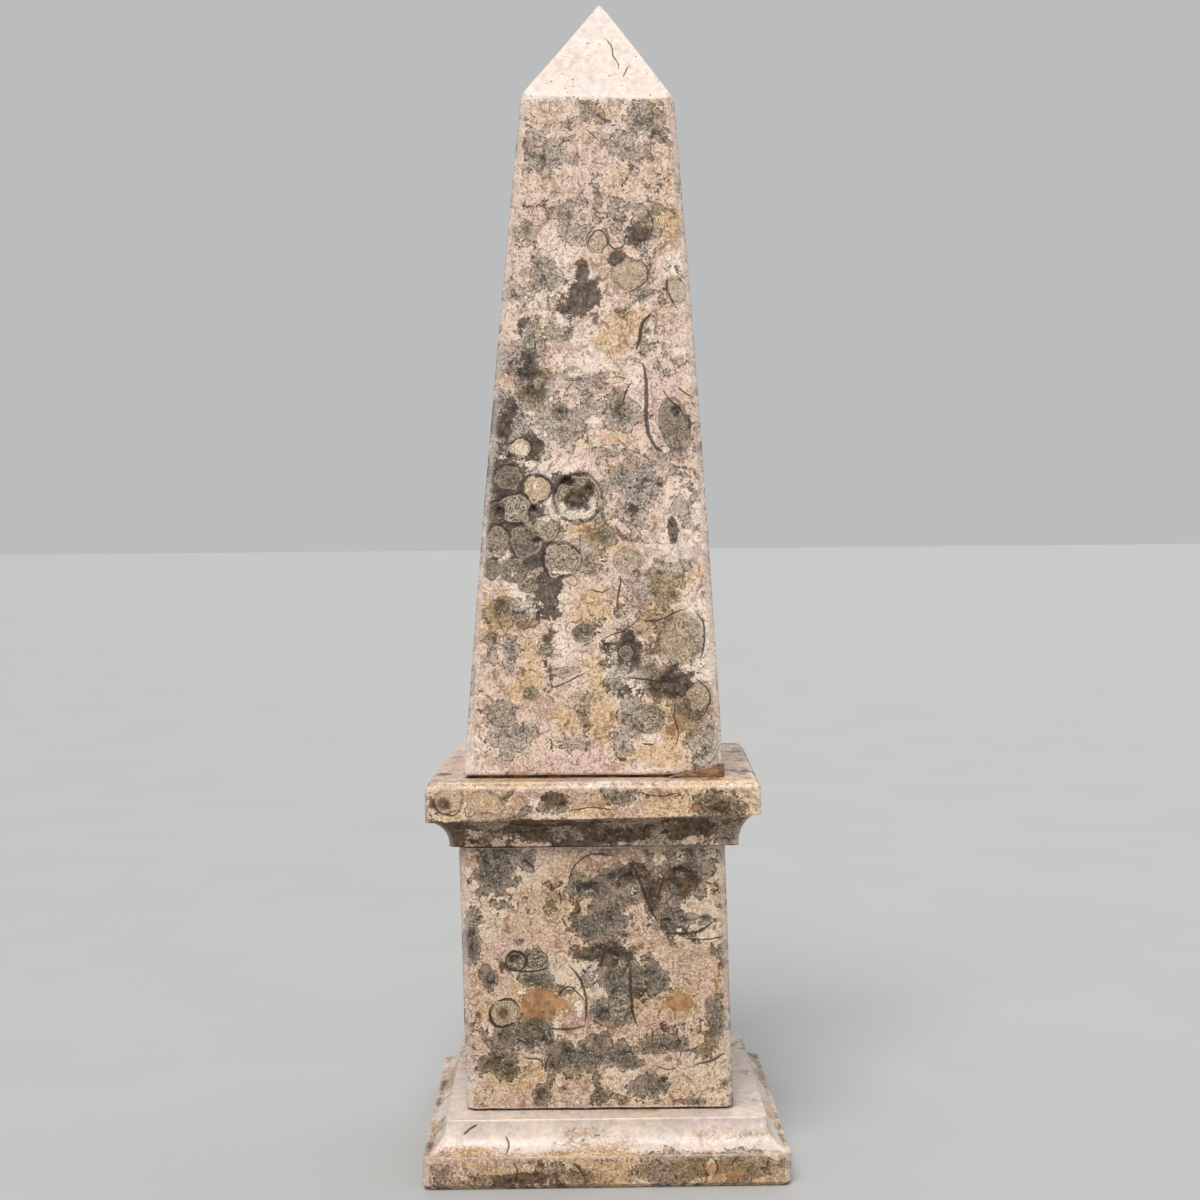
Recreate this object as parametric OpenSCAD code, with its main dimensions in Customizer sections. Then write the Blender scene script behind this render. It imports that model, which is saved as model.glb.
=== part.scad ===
// Tabletop obelisk of polished fossil limestone.
// Four cut stones stand on each other on thin beds of adhesive, and a
// resin repair fills one chipped corner at the foot of the shaft.
// Millimetres, +Z up. Origin: centre of the underside of the base plinth.
// The front faces -Y.

/* [Base plinth] */
// Width and depth of the plinth at its upright face
base_w = 60.8; // [40:0.2:90]
// Height of the plinth
base_h = 10.6; // [8:0.1:20]
// Height at which the upright face ends and the ledge starts
base_face_h = 5.5; // [3:0.1:7]
// Bevel around the underside
base_foot_bevel = 0.8; // [0.3:0.1:1.6]
// Width of the ledge between upright face and cove
base_ledge = 0.8; // [0.3:0.1:2]
// Distance the cove runs inwards
base_cove_run = 2.9; // [1.5:0.1:5]
// Depth of the cove's hollow behind a straight line across it
base_cove_hollow = 0.9; // [0.3:0.05:1.2]
// Bevel on the upright corners
base_corner = 0.7; // [0.2:0.1:2]

/* [Die] */
// Width of the die at its foot
die_foot_w = 45; // [30:0.2:52]
// Width of the die at its top
die_top_w = 44.7; // [30:0.2:47]
// Height of the die
die_h = 44.3; // [30:0.1:70]
// Bevel on the upright corners
die_corner = 1.1; // [0.3:0.1:3]
// Distance the top is shifted sideways from the foot
die_lean = -1.0; // [-2:0.1:2]
// Place of the die on the plinth, left to right
die_x = -0.7; // [-2:0.1:2]
// Place of the die on the plinth, front to back
die_y = 0.3; // [-2:0.1:2]
// Turn of the die about the upright axis, degrees
die_turn = -0.8; // [-3:0.1:3]

/* [Cap] */
// Width and depth of the cap at its upright face
cap_w = 55.6; // [40:0.2:80]
// Height of the cap
cap_h = 11.2; // [8:0.1:20]
// Height of the cove under the cap
cap_cove_h = 5.1; // [3:0.1:7]
// Distance the cove runs inwards
cap_cove_run = 2.9; // [1.5:0.1:5]
// Depth of the cove's hollow behind a straight line across it
cap_cove_hollow = 0.9; // [0.3:0.05:1.2]
// Width of the ledge between upright face and cove
cap_ledge = 0.7; // [0.3:0.1:2]
// How much higher the ledge is at the right end than at the left
cap_skew = 1.1; // [0:0.1:2]
// Bevel around the upper edge
cap_edge_bevel = 0.9; // [0.3:0.1:1.6]
// Bevel on the upright corners
cap_corner = 0.5; // [0.2:0.1:2]
// Place of the cap, left to right
cap_x = -1.0; // [-2:0.1:2]
// Place of the cap, front to back
cap_y = 0.7; // [-2:0.1:2]
// Turn of the cap about the upright axis, degrees
cap_turn = -1.7; // [-3:0.1:3]

/* [Shaft] */
// Width of the shaft at its foot
shaft_foot_w = 43.6; // [30:0.2:46]
// Width of the shaft at its shoulder
shaft_top_w = 26; // [16:0.2:34]
// Height of the shaft from foot to shoulder
shaft_h = 114.3; // [80:0.5:160]
// Height of the pyramid point above the shoulder
point_h = 18.4; // [10:0.2:30]
// Width of the blunt tip
tip_w = 0.7; // [0.3:0.1:3]
// Outward belly of each side at half height
shaft_belly = 0.4; // [0:0.05:1.5]
// Bevel on the upright corners
shaft_corner = 1.15; // [0.3:0.05:3]
// Bevel along the edges of the point
point_corner = 0.3; // [0.1:0.05:1]
// How much higher the shoulder is at the left than at the right
shoulder_skew = 0.9; // [0:0.1:2]
// Distance the shoulder is shifted sideways from the foot
shaft_lean = 1.4; // [-2:0.1:2]
// Place of the shaft, left to right
shaft_x = -0.8; // [-2:0.1:2]
// Place of the shaft, front to back
shaft_y = 0; // [-2:0.1:2]
// Turn of the shaft about the upright axis, degrees
shaft_turn = -2.2; // [-3:0.1:3]

/* [Chipped corner] */
// Length of the chip along the front of the foot
chip_front = 7.6; // [3:0.1:14]
// Length of the chip along the right side of the foot
chip_side = 5.2; // [3:0.1:14]
// Height of the chip at the corner
chip_h = 1.9; // [1:0.1:6]
// How far the resin stands out beyond the shaft
fill_proud = 0.2; // [0:0.05:0.4]

/* [Adhesive beds] */
// Thickness of the bed under the die
base_joint_t = 0.4; // [0.1:0.05:1]
// Thickness of the bed over the die
cap_joint_t = 0.3; // [0.1:0.05:1]
// Thickness of the bed under the shaft
shaft_joint_t = 0.5; // [0.1:0.05:1]
// How far each bed stays back from the faces it joins
joint_setback = 0.5; // [0.2:0.05:2]

/* [Hidden] */

stone_color = [0.80, 0.69, 0.57];
glue_color = [0.22, 0.15, 0.10];
resin_color = [0.52, 0.32, 0.16];

// heights, each from the piece below it
z_die = base_h + base_joint_t;
z_die_top = z_die + die_h;
z_cap = z_die_top + cap_joint_t;
z_cap_top = z_cap + cap_h;
z_shaft = z_cap_top + shaft_joint_t;
z_shoulder = z_shaft + shaft_h;
z_tip = z_shoulder + point_h;

base_cove_drop = base_h - base_face_h;
cutter_length = 2 * max(base_w, cap_w);
cutter_over = 3;

// the bevel of an upright corner runs up into the edge of the point to here
z_hip = z_shoulder + point_h * (shaft_corner - point_corner) / (shaft_top_w - tip_w);
hip_w = shaft_top_w - shaft_corner + point_corner;
shoulder_tilt = -shoulder_skew / shaft_top_w;

// eight points of a square with bevelled corners
function corners(w, c) = let (h = w / 2)
    [[c - h, -h], [h - c, -h], [h, c - h], [h, h - c], [h - c, h], [c - h, h], [-h, h - c], [-h, c - h]];

// the same eight points at height z, shifted sideways by x and tilted to one side
function ring(w, c, z, x = 0, tilt = 0) = [for (p = corners(w, c)) [p[0] + x, p[1], z + tilt * p[0]]];

function belly(t) = 8 * shaft_belly * t * (1 - t);
function shaft_w(t) = shaft_foot_w + (shaft_top_w - shaft_foot_w) * t + belly(t);
function lean_at(z) = shaft_lean * (z - z_shaft) / shaft_h;

// flat-sided solid through a stack of rings
module through(rings) {
    n = len(rings);
    sides = [
        for (k = [0 : n - 2], i = [0 : 7])
            for (f = [[i, i + 8, (i + 1) % 8], [(i + 1) % 8, i + 8, (i + 1) % 8 + 8]])
                [for (v = f) v + 8 * k]
    ];
    foot = [[for (i = [0 : 7]) i]];
    lid = [[for (i = [7 : -1 : 0]) 8 * (n - 1) + i]];
    polyhedron(points = [for (r = rings) each r], faces = concat(foot, sides, lid));
}

// outline of what a cove takes away: ledge at the origin, stone to the left
module cove_outline(run, drop, hollow) {
    across = sqrt(run * run + drop * drop);
    radius = across * across / (8 * hollow) + hollow / 2;
    reach = radius - hollow;
    intersection() {
        union() {
            translate([reach * drop / across - run / 2, -drop / 2 - reach * run / across])
                circle(r = radius, $fn = 96);
            translate([0, -cutter_length])
                square([cutter_length, cutter_length]);
        }
        translate([-2 * run, -drop - cutter_over])
            square([cutter_length, drop + cutter_over]);
    }
}

// outline of what an edge bevel takes away: edge at the origin, stone below left
module bevel_outline(b) {
    o = cutter_over;
    polygon([[-b - o, o], [o, o], [o, -b - o]]);
}

// runs an outline along the side that faces +X
module along_side() {
    rotate([90, 0, 0])
        linear_extrude(height = cutter_length, center = true)
            children();
}

module base_plinth() {
    color(stone_color)
        difference() {
            linear_extrude(height = base_h)
                polygon(corners(base_w, base_corner));
            for (a = [0 : 90 : 270])
                rotate([0, 0, a])
                    translate([base_w / 2 - base_ledge, 0, base_face_h])
                        mirror([0, 0, 1])
                            along_side()
                                cove_outline(base_cove_run, base_cove_drop, base_cove_hollow);
            for (a = [0 : 90 : 270])
                rotate([0, 0, a])
                    translate([base_w / 2, 0, 0])
                        mirror([0, 0, 1])
                            along_side()
                                bevel_outline(base_foot_bevel);
        }
}

// puts children where the die stands
module at_die() {
    translate([die_x, die_y, 0])
        rotate([0, 0, die_turn])
            children();
}

module base_joint() {
    color(glue_color)
        at_die()
            translate([0, 0, base_h])
                linear_extrude(height = base_joint_t)
                    polygon(corners(die_foot_w - 2 * joint_setback, die_corner));
}

module die() {
    color(stone_color)
        at_die()
            through([
                ring(die_foot_w, die_corner, z_die),
                ring(die_top_w, die_corner, z_die_top, die_lean)
            ]);
}

module cap_joint() {
    color(glue_color)
        at_die()
            translate([die_lean, 0, z_die_top])
                linear_extrude(height = cap_joint_t)
                    polygon(corners(die_top_w - 2 * joint_setback, die_corner));
}

module cap() {
    tilt = atan(cap_skew / cap_w);
    color(stone_color)
        translate([cap_x, cap_y, z_cap])
            rotate([0, 0, cap_turn])
                difference() {
                    linear_extrude(height = cap_h)
                        polygon(corners(cap_w, cap_corner));
                    rotate([0, -tilt, 0])
                        for (a = [0 : 90 : 270])
                            rotate([0, 0, a])
                                translate([cap_w / 2 - cap_ledge, 0, cap_cove_h])
                                    along_side()
                                        cove_outline(cap_cove_run, cap_cove_h, cap_cove_hollow);
                    for (a = [0 : 90 : 270])
                        rotate([0, 0, a])
                            translate([cap_w / 2, 0, cap_h])
                                along_side()
                                    bevel_outline(cap_edge_bevel);
                }
}

// puts children where the shaft stands
module at_shaft() {
    translate([shaft_x, shaft_y, 0])
        rotate([0, 0, shaft_turn])
            children();
}

// the corner of the foot that has broken away, with room to spare outside the stone
module chip_space() {
    o = cutter_over;
    grow = 1 + o / chip_front + o / chip_side + o / chip_h;
    translate([shaft_foot_w / 2 + o, -shaft_foot_w / 2 - o, z_shaft - o])
        polyhedron(
            points = [[0, 0, 0], [-grow * chip_front, 0, 0], [0, grow * chip_side, 0], [0, 0, grow * chip_h]],
            faces = [[0, 2, 1], [0, 1, 3], [0, 3, 2], [1, 2, 3]]
        );
}

module shaft_joint() {
    color(glue_color)
        at_shaft()
            difference() {
                translate([0, 0, z_cap_top])
                    linear_extrude(height = shaft_joint_t)
                        polygon(corners(shaft_foot_w - 2 * joint_setback, shaft_corner));
                chip_space();
            }
}

module shaft() {
    steps = 4;
    color(stone_color)
        at_shaft()
            difference() {
                through([
                    for (k = [0 : steps - 1])
                        let (t = k / steps)
                            ring(shaft_w(t), shaft_corner, z_shaft + shaft_h * t, shaft_lean * t),
                    ring(shaft_top_w, shaft_corner, z_shoulder, shaft_lean, shoulder_tilt),
                    ring(hip_w, point_corner, z_hip, lean_at(z_hip), shoulder_tilt),
                    ring(tip_w, tip_w / 5, z_tip, lean_at(z_tip))
                ]);
                chip_space();
            }
}

module corner_fill() {
    color(resin_color)
        at_shaft()
            intersection() {
                translate([0, 0, z_cap_top])
                    linear_extrude(height = shaft_joint_t + chip_h)
                        polygon(corners(shaft_foot_w + 2 * fill_proud, shaft_corner));
                chip_space();
            }
}

base_plinth();
base_joint();
die();
cap_joint();
cap();
shaft_joint();
shaft();
corner_fill();
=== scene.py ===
import math

import bmesh
import bpy
import numpy as np
from mathutils import Matrix, Vector


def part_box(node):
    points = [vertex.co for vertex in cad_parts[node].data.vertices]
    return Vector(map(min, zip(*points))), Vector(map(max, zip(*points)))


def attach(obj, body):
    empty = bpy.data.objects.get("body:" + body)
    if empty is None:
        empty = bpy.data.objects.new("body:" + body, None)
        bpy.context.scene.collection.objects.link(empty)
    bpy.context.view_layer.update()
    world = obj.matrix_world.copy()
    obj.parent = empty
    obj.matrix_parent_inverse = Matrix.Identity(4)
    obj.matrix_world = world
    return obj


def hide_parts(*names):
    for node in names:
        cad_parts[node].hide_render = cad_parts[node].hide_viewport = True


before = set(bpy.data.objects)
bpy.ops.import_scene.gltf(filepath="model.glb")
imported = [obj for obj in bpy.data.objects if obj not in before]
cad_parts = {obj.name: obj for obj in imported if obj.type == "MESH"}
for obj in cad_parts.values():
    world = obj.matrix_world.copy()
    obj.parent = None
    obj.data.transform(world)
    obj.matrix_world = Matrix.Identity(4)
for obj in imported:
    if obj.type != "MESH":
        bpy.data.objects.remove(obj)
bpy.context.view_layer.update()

MM = 0.001

# ---- Sizes in millimetres, the same as the cut stones of the frame ----
BASE_W, BASE_FACE_H, BASE_BEVEL = 60.8, 5.5, 0.8
BASE_LEDGE, BASE_COVE, BASE_HOLLOW, BASE_CORNER = 0.8, 2.9, 0.9, 0.7
DIE_FOOT_W, DIE_TOP_W, DIE_CORNER, DIE_LEAN = 45.0, 44.7, 1.1, -1.0
DIE_AT, DIE_TURN = (-0.7, 0.3), -0.8
CAP_W, CAP_COVE_H, CAP_COVE, CAP_HOLLOW = 55.6, 5.1, 2.9, 0.9
CAP_LEDGE, CAP_SKEW, CAP_BEVEL, CAP_CORNER = 0.7, 1.1, 0.9, 0.5
CAP_AT, CAP_TURN = (-1.0, 0.7), -1.7
SHAFT_FOOT_W, SHAFT_TOP_W, SHAFT_CORNER, SHAFT_BELLY = 43.6, 26.0, 1.15, 0.4
SHAFT_H, POINT_H, TIP_W, POINT_CORNER = 114.3, 18.4, 0.7, 0.3
SHOULDER_SKEW, SHAFT_LEAN = 0.9, 1.4
SHAFT_AT, SHAFT_TURN = (-0.8, 0.0), -2.2
CHIP_FRONT, CHIP_SIDE, CHIP_H = 7.6, 5.2, 1.9
JOINT_SETBACK = 0.5
# spacing of the rings on faces that show and on flats that hardly do, and the stones' inmost ring
FINE, FLAT, HEART = 0.36, 4.0, 0.5
# flats run fine from the edge to this half width
BASE_FLAT, CAP_FLAT, SHAFT_FLAT = 19.0, 19.0, 19.5
# numbers behind the random lumps, and where in them a stone starts
LUMP_COUNT, LUMP_START = 4096, 57.3
# a pit at least this deep in front is cut finer; how fast a stain fades from its middle
DEEP_PIT, STAIN_FALL = 0.42, 0.7
# value of no drawn line near, and how near a line has to be to a face
NO_LINE, LINE_REACH = 99.0, 2.5


def level(node, top):
    """Height in millimetres of the underside or the top of a stone in the frame."""
    low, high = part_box(node)
    return (high if top else low)[2] / MM


# ---- Shader sums ----
class Wire:
    """A socket of a finish, which can be added, multiplied and compared in plain sums."""

    def __init__(self, tree, socket=None):
        self.tree, self.socket = tree, socket

    def node(self, kind, settings=None, sockets=None, out=0):
        """Any node: its settings go in first, then the values or wires of its sockets."""
        made = self.tree.nodes.new(kind)
        for name, value in (settings or {}).items():
            setattr(made, name, value)
        for key, value in (sockets or {}).items():
            if isinstance(value, Wire):
                self.tree.links.new(value.socket, made.inputs[key])
            else:
                made.inputs[key].default_value = value
        return Wire(self.tree, made.outputs[out])

    def _sum(self, how, first, second):
        return self.node("ShaderNodeMath", {"operation": how}, {0: first, 1: second})

    def __add__(self, other):
        return self._sum("ADD", self, other)

    def __radd__(self, other):
        return self._sum("ADD", other, self)

    def __sub__(self, other):
        return self._sum("SUBTRACT", self, other)

    def __rsub__(self, other):
        return self._sum("SUBTRACT", other, self)

    def __mul__(self, other):
        return self._sum("MULTIPLY", self, other)

    def __rmul__(self, other):
        return self._sum("MULTIPLY", other, self)

    def __pow__(self, other):
        return self._sum("POWER", self, other)

    def __abs__(self):
        return self.node("ShaderNodeMath", {"operation": "ABSOLUTE"}, {0: self})

    def most(self, other):
        """The larger of two values."""
        return self._sum("MAXIMUM", self, other)

    def rise(self, low, high):
        """0 below low, 1 above high, smooth between; falls instead if high is the lower."""
        falls = high < low
        start, end = sorted((low, high))
        sockets = {"Value": self, "From Min": start, "From Max": end}
        sockets.update({"To Min": float(falls), "To Max": float(not falls)})
        settings = {"interpolation_type": "SMOOTHSTEP", "clamp": True}
        return self.node("ShaderNodeMapRange", settings, sockets)

    def sine(self):
        return self.node("ShaderNodeMath", {"operation": "SINE"}, {0: self})

    def mix(self, under, upper):
        """The upper colour laid over the under one, as strongly as this value says."""
        sockets = {0: self, 6: under, 7: upper}
        return self.node("ShaderNodeMix", {"data_type": "RGBA"}, sockets, out=2)

    def moved(self, other, how="ADD"):
        """Vector sum with another vector."""
        return self.node("ShaderNodeVectorMath", {"operation": how}, {0: self, 1: other})

    def scaled(self, amount):
        return self.node("ShaderNodeVectorMath", {"operation": "SCALE"}, {0: self, "Scale": amount})

    def length(self):
        return self.node("ShaderNodeVectorMath", {"operation": "LENGTH"}, {0: self}, out="Value")

    def part(self, axis):
        return self.node("ShaderNodeSeparateXYZ", None, {0: self}, out=axis)

    def dot(self, other):
        sockets = {0: self, 1: other}
        return self.node("ShaderNodeVectorMath", {"operation": "DOT_PRODUCT"}, sockets, out="Value")

    def unit(self):
        return self.node("ShaderNodeVectorMath", {"operation": "NORMALIZE"}, {0: self})

    def twin(self, out):
        """Another output of the node that this one comes from."""
        return Wire(self.tree, self.socket.node.outputs[out])


# ---- Roughness of cut stone, as numbers on its points ----
def grain(points, size, seed):
    """Smooth random lumps about `size` millimetres apart, from -1 to 1, at each point."""
    table = np.random.default_rng(seed).random(LUMP_COUNT) * 2 - 1
    place = points / size + LUMP_START
    cell = np.floor(place).astype(int)
    part = place - cell
    part = part * part * (3 - 2 * part)
    total = np.zeros(len(points))
    for i in (0, 1):
        for j in (0, 1):
            for k in (0, 1):
                pick = (cell[:, 0] + i) * 73 + (cell[:, 1] + j) * 719 + (cell[:, 2] + k) * 1931
                share = (
                    (part[:, 0] if i else 1 - part[:, 0])
                    * (part[:, 1] if j else 1 - part[:, 1])
                    * (part[:, 2] if k else 1 - part[:, 2])
                )
                total += table[pick % LUMP_COUNT] * share
    return total


def clouds(points, size, seed, octaves=4, rough=0.55):
    """Random lumps with finer lumps on them, mostly within -0.6 to 0.6."""
    total, weight, share = 0, 1.0, 0
    for k in range(octaves):
        total = total + weight * grain(points, size / 2**k, seed + k)
        share, weight = share + weight, weight * rough
    return total / share


def ease(value, low, high):
    """0 at low, 1 at high, smooth between."""
    share = np.clip((value - low) / (high - low), 0, 1)
    return share * share * (3 - 2 * share)


# ---- Cutting a stone: square rings set along a profile ----
def square_ring(half, corner, count):
    """Points once around a square with bevelled corners, closer together near the corners."""
    corner = min(corner, half * 0.6)  # on the tiny inner rings
    run = np.linspace(-1, 1, count + 1)
    run = 1.35 * run - 0.35 * run**3
    side = np.column_stack([run * (half - corner), np.full(count + 1, -half)])
    slope = np.array([[half - corner * k, -half + corner * (1 - k)] for k in (0.66, 0.33)])
    quarter = np.vstack([side, slope])
    turns = []
    for _ in range(4):
        turns.append(quarter)
        quarter = np.column_stack([-quarter[:, 1], quarter[:, 0]])
    return np.vstack(turns)


def walk(profile, step, edge=0.14):
    """A profile with points at most `step` apart, and a close pair at each of its corners."""
    points = [profile[0]]
    for start, end in zip(profile, profile[1:]):
        start, end = np.array(start, float), np.array(end, float)
        length = float(np.linalg.norm(end[:2] - start[:2]))
        places = [0.0, 1.0]
        if length > 3 * edge:
            places += [edge / length, 1 - edge / length]
            inner = max(1, int(round((length - 2 * edge) / step)))
            places += [(edge + (length - 2 * edge) * k / inner) / length for k in range(1, inner)]
        for share in sorted(set(places))[1:]:
            points.append(tuple(start + (end - start) * share))
    return points


def cove_arc(ledge, foot, hollow, count):
    """Points of the hollow curve from the ledge to its inner end."""
    ledge, foot = np.array(ledge, float), np.array(foot, float)
    chord = foot - ledge
    across = float(np.linalg.norm(chord))
    radius = across * across / (8 * hollow) + hollow / 2
    out = np.array([-chord[1], chord[0]]) / across
    if out[0] < 0:
        out = -out
    centre = (ledge + foot) / 2 + out * (radius - hollow)
    first, last = ledge - centre, foot - centre
    start = math.atan2(first[1], first[0])
    turn = math.atan2(last[1], last[0]) - start
    turn = (turn + math.pi) % (2 * math.pi) - math.pi
    angles = [start + turn * k / count for k in range(count + 1)]
    return [tuple(centre + radius * np.array([math.cos(a), math.sin(a)])) for a in angles]


def cut_stone(profile, count, corner_at):
    """Points and faces of a stone: a square ring at each (half width, height) of the profile."""
    rings = []
    for half, height in profile:
        ring = square_ring(half, corner_at(height), count)
        rings.append(np.column_stack([ring, np.full(len(ring), height)]))
    around = len(rings[0])
    points = np.vstack(rings)
    index = np.arange(around)
    ahead = (index + 1) % around
    faces = []
    for k in range(len(rings) - 1):
        low, high = k * around, (k + 1) * around
        faces.append(np.column_stack([low + index, low + ahead, high + ahead, high + index]))
    return points, np.vstack(faces), around, len(rings)


def place_stone(points, at, turn):
    """Points turned about the upright axis and moved to where the stone stands."""
    angle = math.radians(turn)
    spun = points.copy()
    spun[:, 0] = points[:, 0] * math.cos(angle) - points[:, 1] * math.sin(angle) + at[0]
    spun[:, 1] = points[:, 0] * math.sin(angle) + points[:, 1] * math.cos(angle) + at[1]
    return spun


def bring_in(name, data):
    """A new object, put into the scene."""
    piece = bpy.data.objects.new(name, data)
    bpy.context.scene.collection.objects.link(piece)
    return piece


def make_mesh(name, points, faces, around=0, levels=0):
    """A mesh object from points in millimetres; open rings at both ends are closed."""
    mesh = bpy.data.meshes.new(name)
    loops = [tuple(int(i) for i in face) for face in faces]
    if around:
        loops.append(tuple(range(around - 1, -1, -1)))
        loops.append(tuple(range((levels - 1) * around, levels * around)))
    mesh.from_pydata((points * MM).tolist(), [], loops)
    mesh.validate()
    mesh.update()
    mesh.shade_smooth()
    return bring_in(name, mesh)


def read_points(piece, what):
    flat = np.empty(len(piece.data.vertices) * 3)
    piece.data.vertices.foreach_get(what, flat)
    return flat.reshape(-1, 3)


def points_of(piece):
    return read_points(piece, "co") / MM


def normals_of(piece):
    return read_points(piece, "normal")


def put_points(piece, points):
    piece.data.vertices.foreach_set("co", (points * MM).ravel())
    piece.data.update()


def refine(piece, spots, reach=1.15):
    """Splits the faces around each spot (x, y, z, radius) so that a small hollow comes out round."""
    work = bmesh.new()
    work.from_mesh(piece.data)
    chosen = set()
    for face in work.faces:
        middle = face.calc_center_median() / MM
        if any((middle - Vector(spot)).length < radius * reach for *spot, radius in spots):
            chosen.update(face.edges)
    bmesh.ops.subdivide_edges(work, edges=list(chosen), cuts=1, use_grid_fill=True)
    work.to_mesh(piece.data)
    work.free()
    piece.data.shade_smooth()


def spread_from(points, middle, radii):
    """Square of each point's distance from a middle, in units of the radii."""
    (x, y, z), (across, deep, tall) = middle, radii
    east, north, up = points[:, 0] - x, points[:, 1] - y, points[:, 2] - z
    return (east / across) ** 2 + (north / deep) ** 2 + (up / tall) ** 2


def hollows(points, normals, spots, seed):
    """Sinks ragged hollows; gives the new points, and from 0 to 1 how deep in a hollow each is."""
    inside = np.zeros(len(points))
    ragged = 0.22 * grain(points, 1.1, seed) + 0.16 * grain(points, 0.5, seed + 1)
    for x, y, z, wide, tall, depth in spots:
        away = np.sqrt(spread_from(points, (x, y, z), (wide, wide, tall)))
        dip = ease(1 - away - ragged, 0.0, 0.55)
        bottom = 0.8 + 0.5 * grain(points, 0.9, seed + 2)
        points = points - normals * (dip * depth * np.clip(bottom, 0.3, 1.4))[:, None]
        inside = np.maximum(inside, dip)
    return points, inside


def worn(points, normals, edge, seed, wave=0.03, wear=0.12):
    """Hand polishing: faces wave a little, and edges are rubbed back and nicked here and there."""
    rub = edge * (0.35 + 0.65 * np.clip(grain(points, 3.0, seed) + 0.3, 0, 1)) * wear
    nick = edge * ease(grain(points, 1.6, seed + 3), 0.55, 0.85) * 0.22
    roll = wave * (grain(points, 14.0, seed + 5) + 0.5 * grain(points, 5.0, seed + 6))
    return points - normals * (rub + nick - roll)[:, None], np.clip(edge * 0.7 + nick, 0, 1)


# ---- Fossils and stains, set out in millimetres ----
def corners_of(piece):
    """For each face: its middle; for each face corner: its face and its point."""
    mesh = piece.data
    points = points_of(piece)
    owner = np.repeat(np.arange(len(mesh.polygons)), [p.loop_total for p in mesh.polygons])
    vertex = np.empty(len(mesh.loops), int)
    mesh.loops.foreach_get("vertex_index", vertex)
    spots = points[vertex]
    count = np.bincount(owner)
    middles = np.column_stack([np.bincount(owner, spots[:, k]) / count for k in range(3)])
    return middles, owner, spots


STAIN_KINDS = ("grey", "dark", "ochre", "white")
USUAL_KINDS = ("grey",) * 5 + ("dark",) * 2 + ("ochre",)


def keep_mark(piece, name, domain, values):
    """Keeps three numbers on each point or face corner, for the finish to read."""
    layer = piece.data.attributes.new(name, "FLOAT_VECTOR", domain)
    layer.data.foreach_set("vector", np.ascontiguousarray(values, dtype=np.float32).ravel())


def shell_space(points, shell):
    """Points seen from a shell's middle, in units of its own radii."""
    (x, y, z), (across, deep, tall), tilt = shell[:3]
    angle = math.radians(tilt)
    east, up = points[..., 0] - x, points[..., 2] - z
    return np.stack(
        [
            (east * math.cos(angle) + up * math.sin(angle)) / across,
            (points[..., 1] - y) / deep,
            (up * math.cos(angle) - east * math.sin(angle)) / tall,
        ],
        axis=-1,
    )


def mark_shells(piece, shells):
    """Each face learns its two nearest shells, so that the finish can draw them finely."""
    middles, owner, spots = corners_of(piece)
    away = np.stack([np.linalg.norm(shell_space(middles, s), axis=1) for s in shells], axis=1)
    order = np.argsort(away, axis=1)
    looks = np.array([s[3] for s in shells])
    for rank, name in ((0, "shell_near"), (1, "shell_next")):
        pick = order[:, min(rank, len(shells) - 1)][owner]
        local = np.zeros_like(spots)
        for number, shell in enumerate(shells):
            mine = pick == number
            local[mine] = shell_space(spots[mine], shell)
        keep_mark(piece, name, "CORNER", local)
        keep_mark(piece, name + "_look", "CORNER", looks[pick])


def smooth_line(knots, count=7):
    """A smooth curve through given knots."""
    knots = [np.array(k, float) for k in knots]
    knots = [2 * knots[0] - knots[1]] + knots + [2 * knots[-1] - knots[-2]]
    line = []
    for a, b, c, d in zip(knots, knots[1:], knots[2:], knots[3:]):
        for k in range(count):
            t = k / count
            bend, twist = 2 * a - 5 * b + 4 * c - d, 3 * b - a - 3 * c + d
            line.append(0.5 * ((2 * b) + (c - a) * t + bend * t**2 + twist * t**3))
    line.append(knots[-2])
    return np.array(line)


def line_space(spots, line):
    """For each (x, z) spot: signed distance from a line, place along it from -1 to 1, plain distance."""
    start, end = line[:-1], line[1:]
    way = end - start
    length = np.linalg.norm(way, axis=1)
    way = way / length[:, None]
    total = length.sum()
    before = np.concatenate([[0], np.cumsum(length)[:-1]])
    rel = spots[:, None, :] - start[None]
    along = (rel * way[None]).sum(2)
    side = rel[..., 1] * way[None, :, 0] - rel[..., 0] * way[None, :, 1]
    over = np.maximum(0, np.maximum(-along, along - length[None]))
    reach = np.hypot(side, over)
    pick = np.argmin(reach, axis=1)
    row = np.arange(len(spots))
    place = (before[pick] + along[row, pick]) / total * 2 - 1
    return side[row, pick], place, reach[row, pick]


def mark_lines(piece, lines, front):
    """Each front face learns its nearest drawn line: the side, the place along it, half its width."""
    middles, owner, spots = corners_of(piece)
    value = np.tile([NO_LINE, 0.0, 0.1], (len(spots), 1))
    ahead = np.flatnonzero(middles[:, 1] < front)
    curves = [(smooth_line(knots), width) for width, knots in lines]
    near = np.full(len(middles), 1e9)
    best = np.full(len(middles), -1)
    for number, (line, _) in enumerate(curves):
        reach = np.full(len(middles), 1e9)
        reach[ahead] = line_space(middles[ahead][:, [0, 2]], line)[2]
        closer = reach < near
        near[closer], best[closer] = reach[closer], number
    best[near > LINE_REACH] = -1
    for number, (line, width) in enumerate(curves):
        mine = best[owner] == number
        if mine.any():
            side, place, _ = line_space(spots[mine][:, [0, 2]], line)
            value[mine] = np.column_stack([side, place, np.full(mine.sum(), width)])
    keep_mark(piece, "drawn_line", "CORNER", value)


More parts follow.
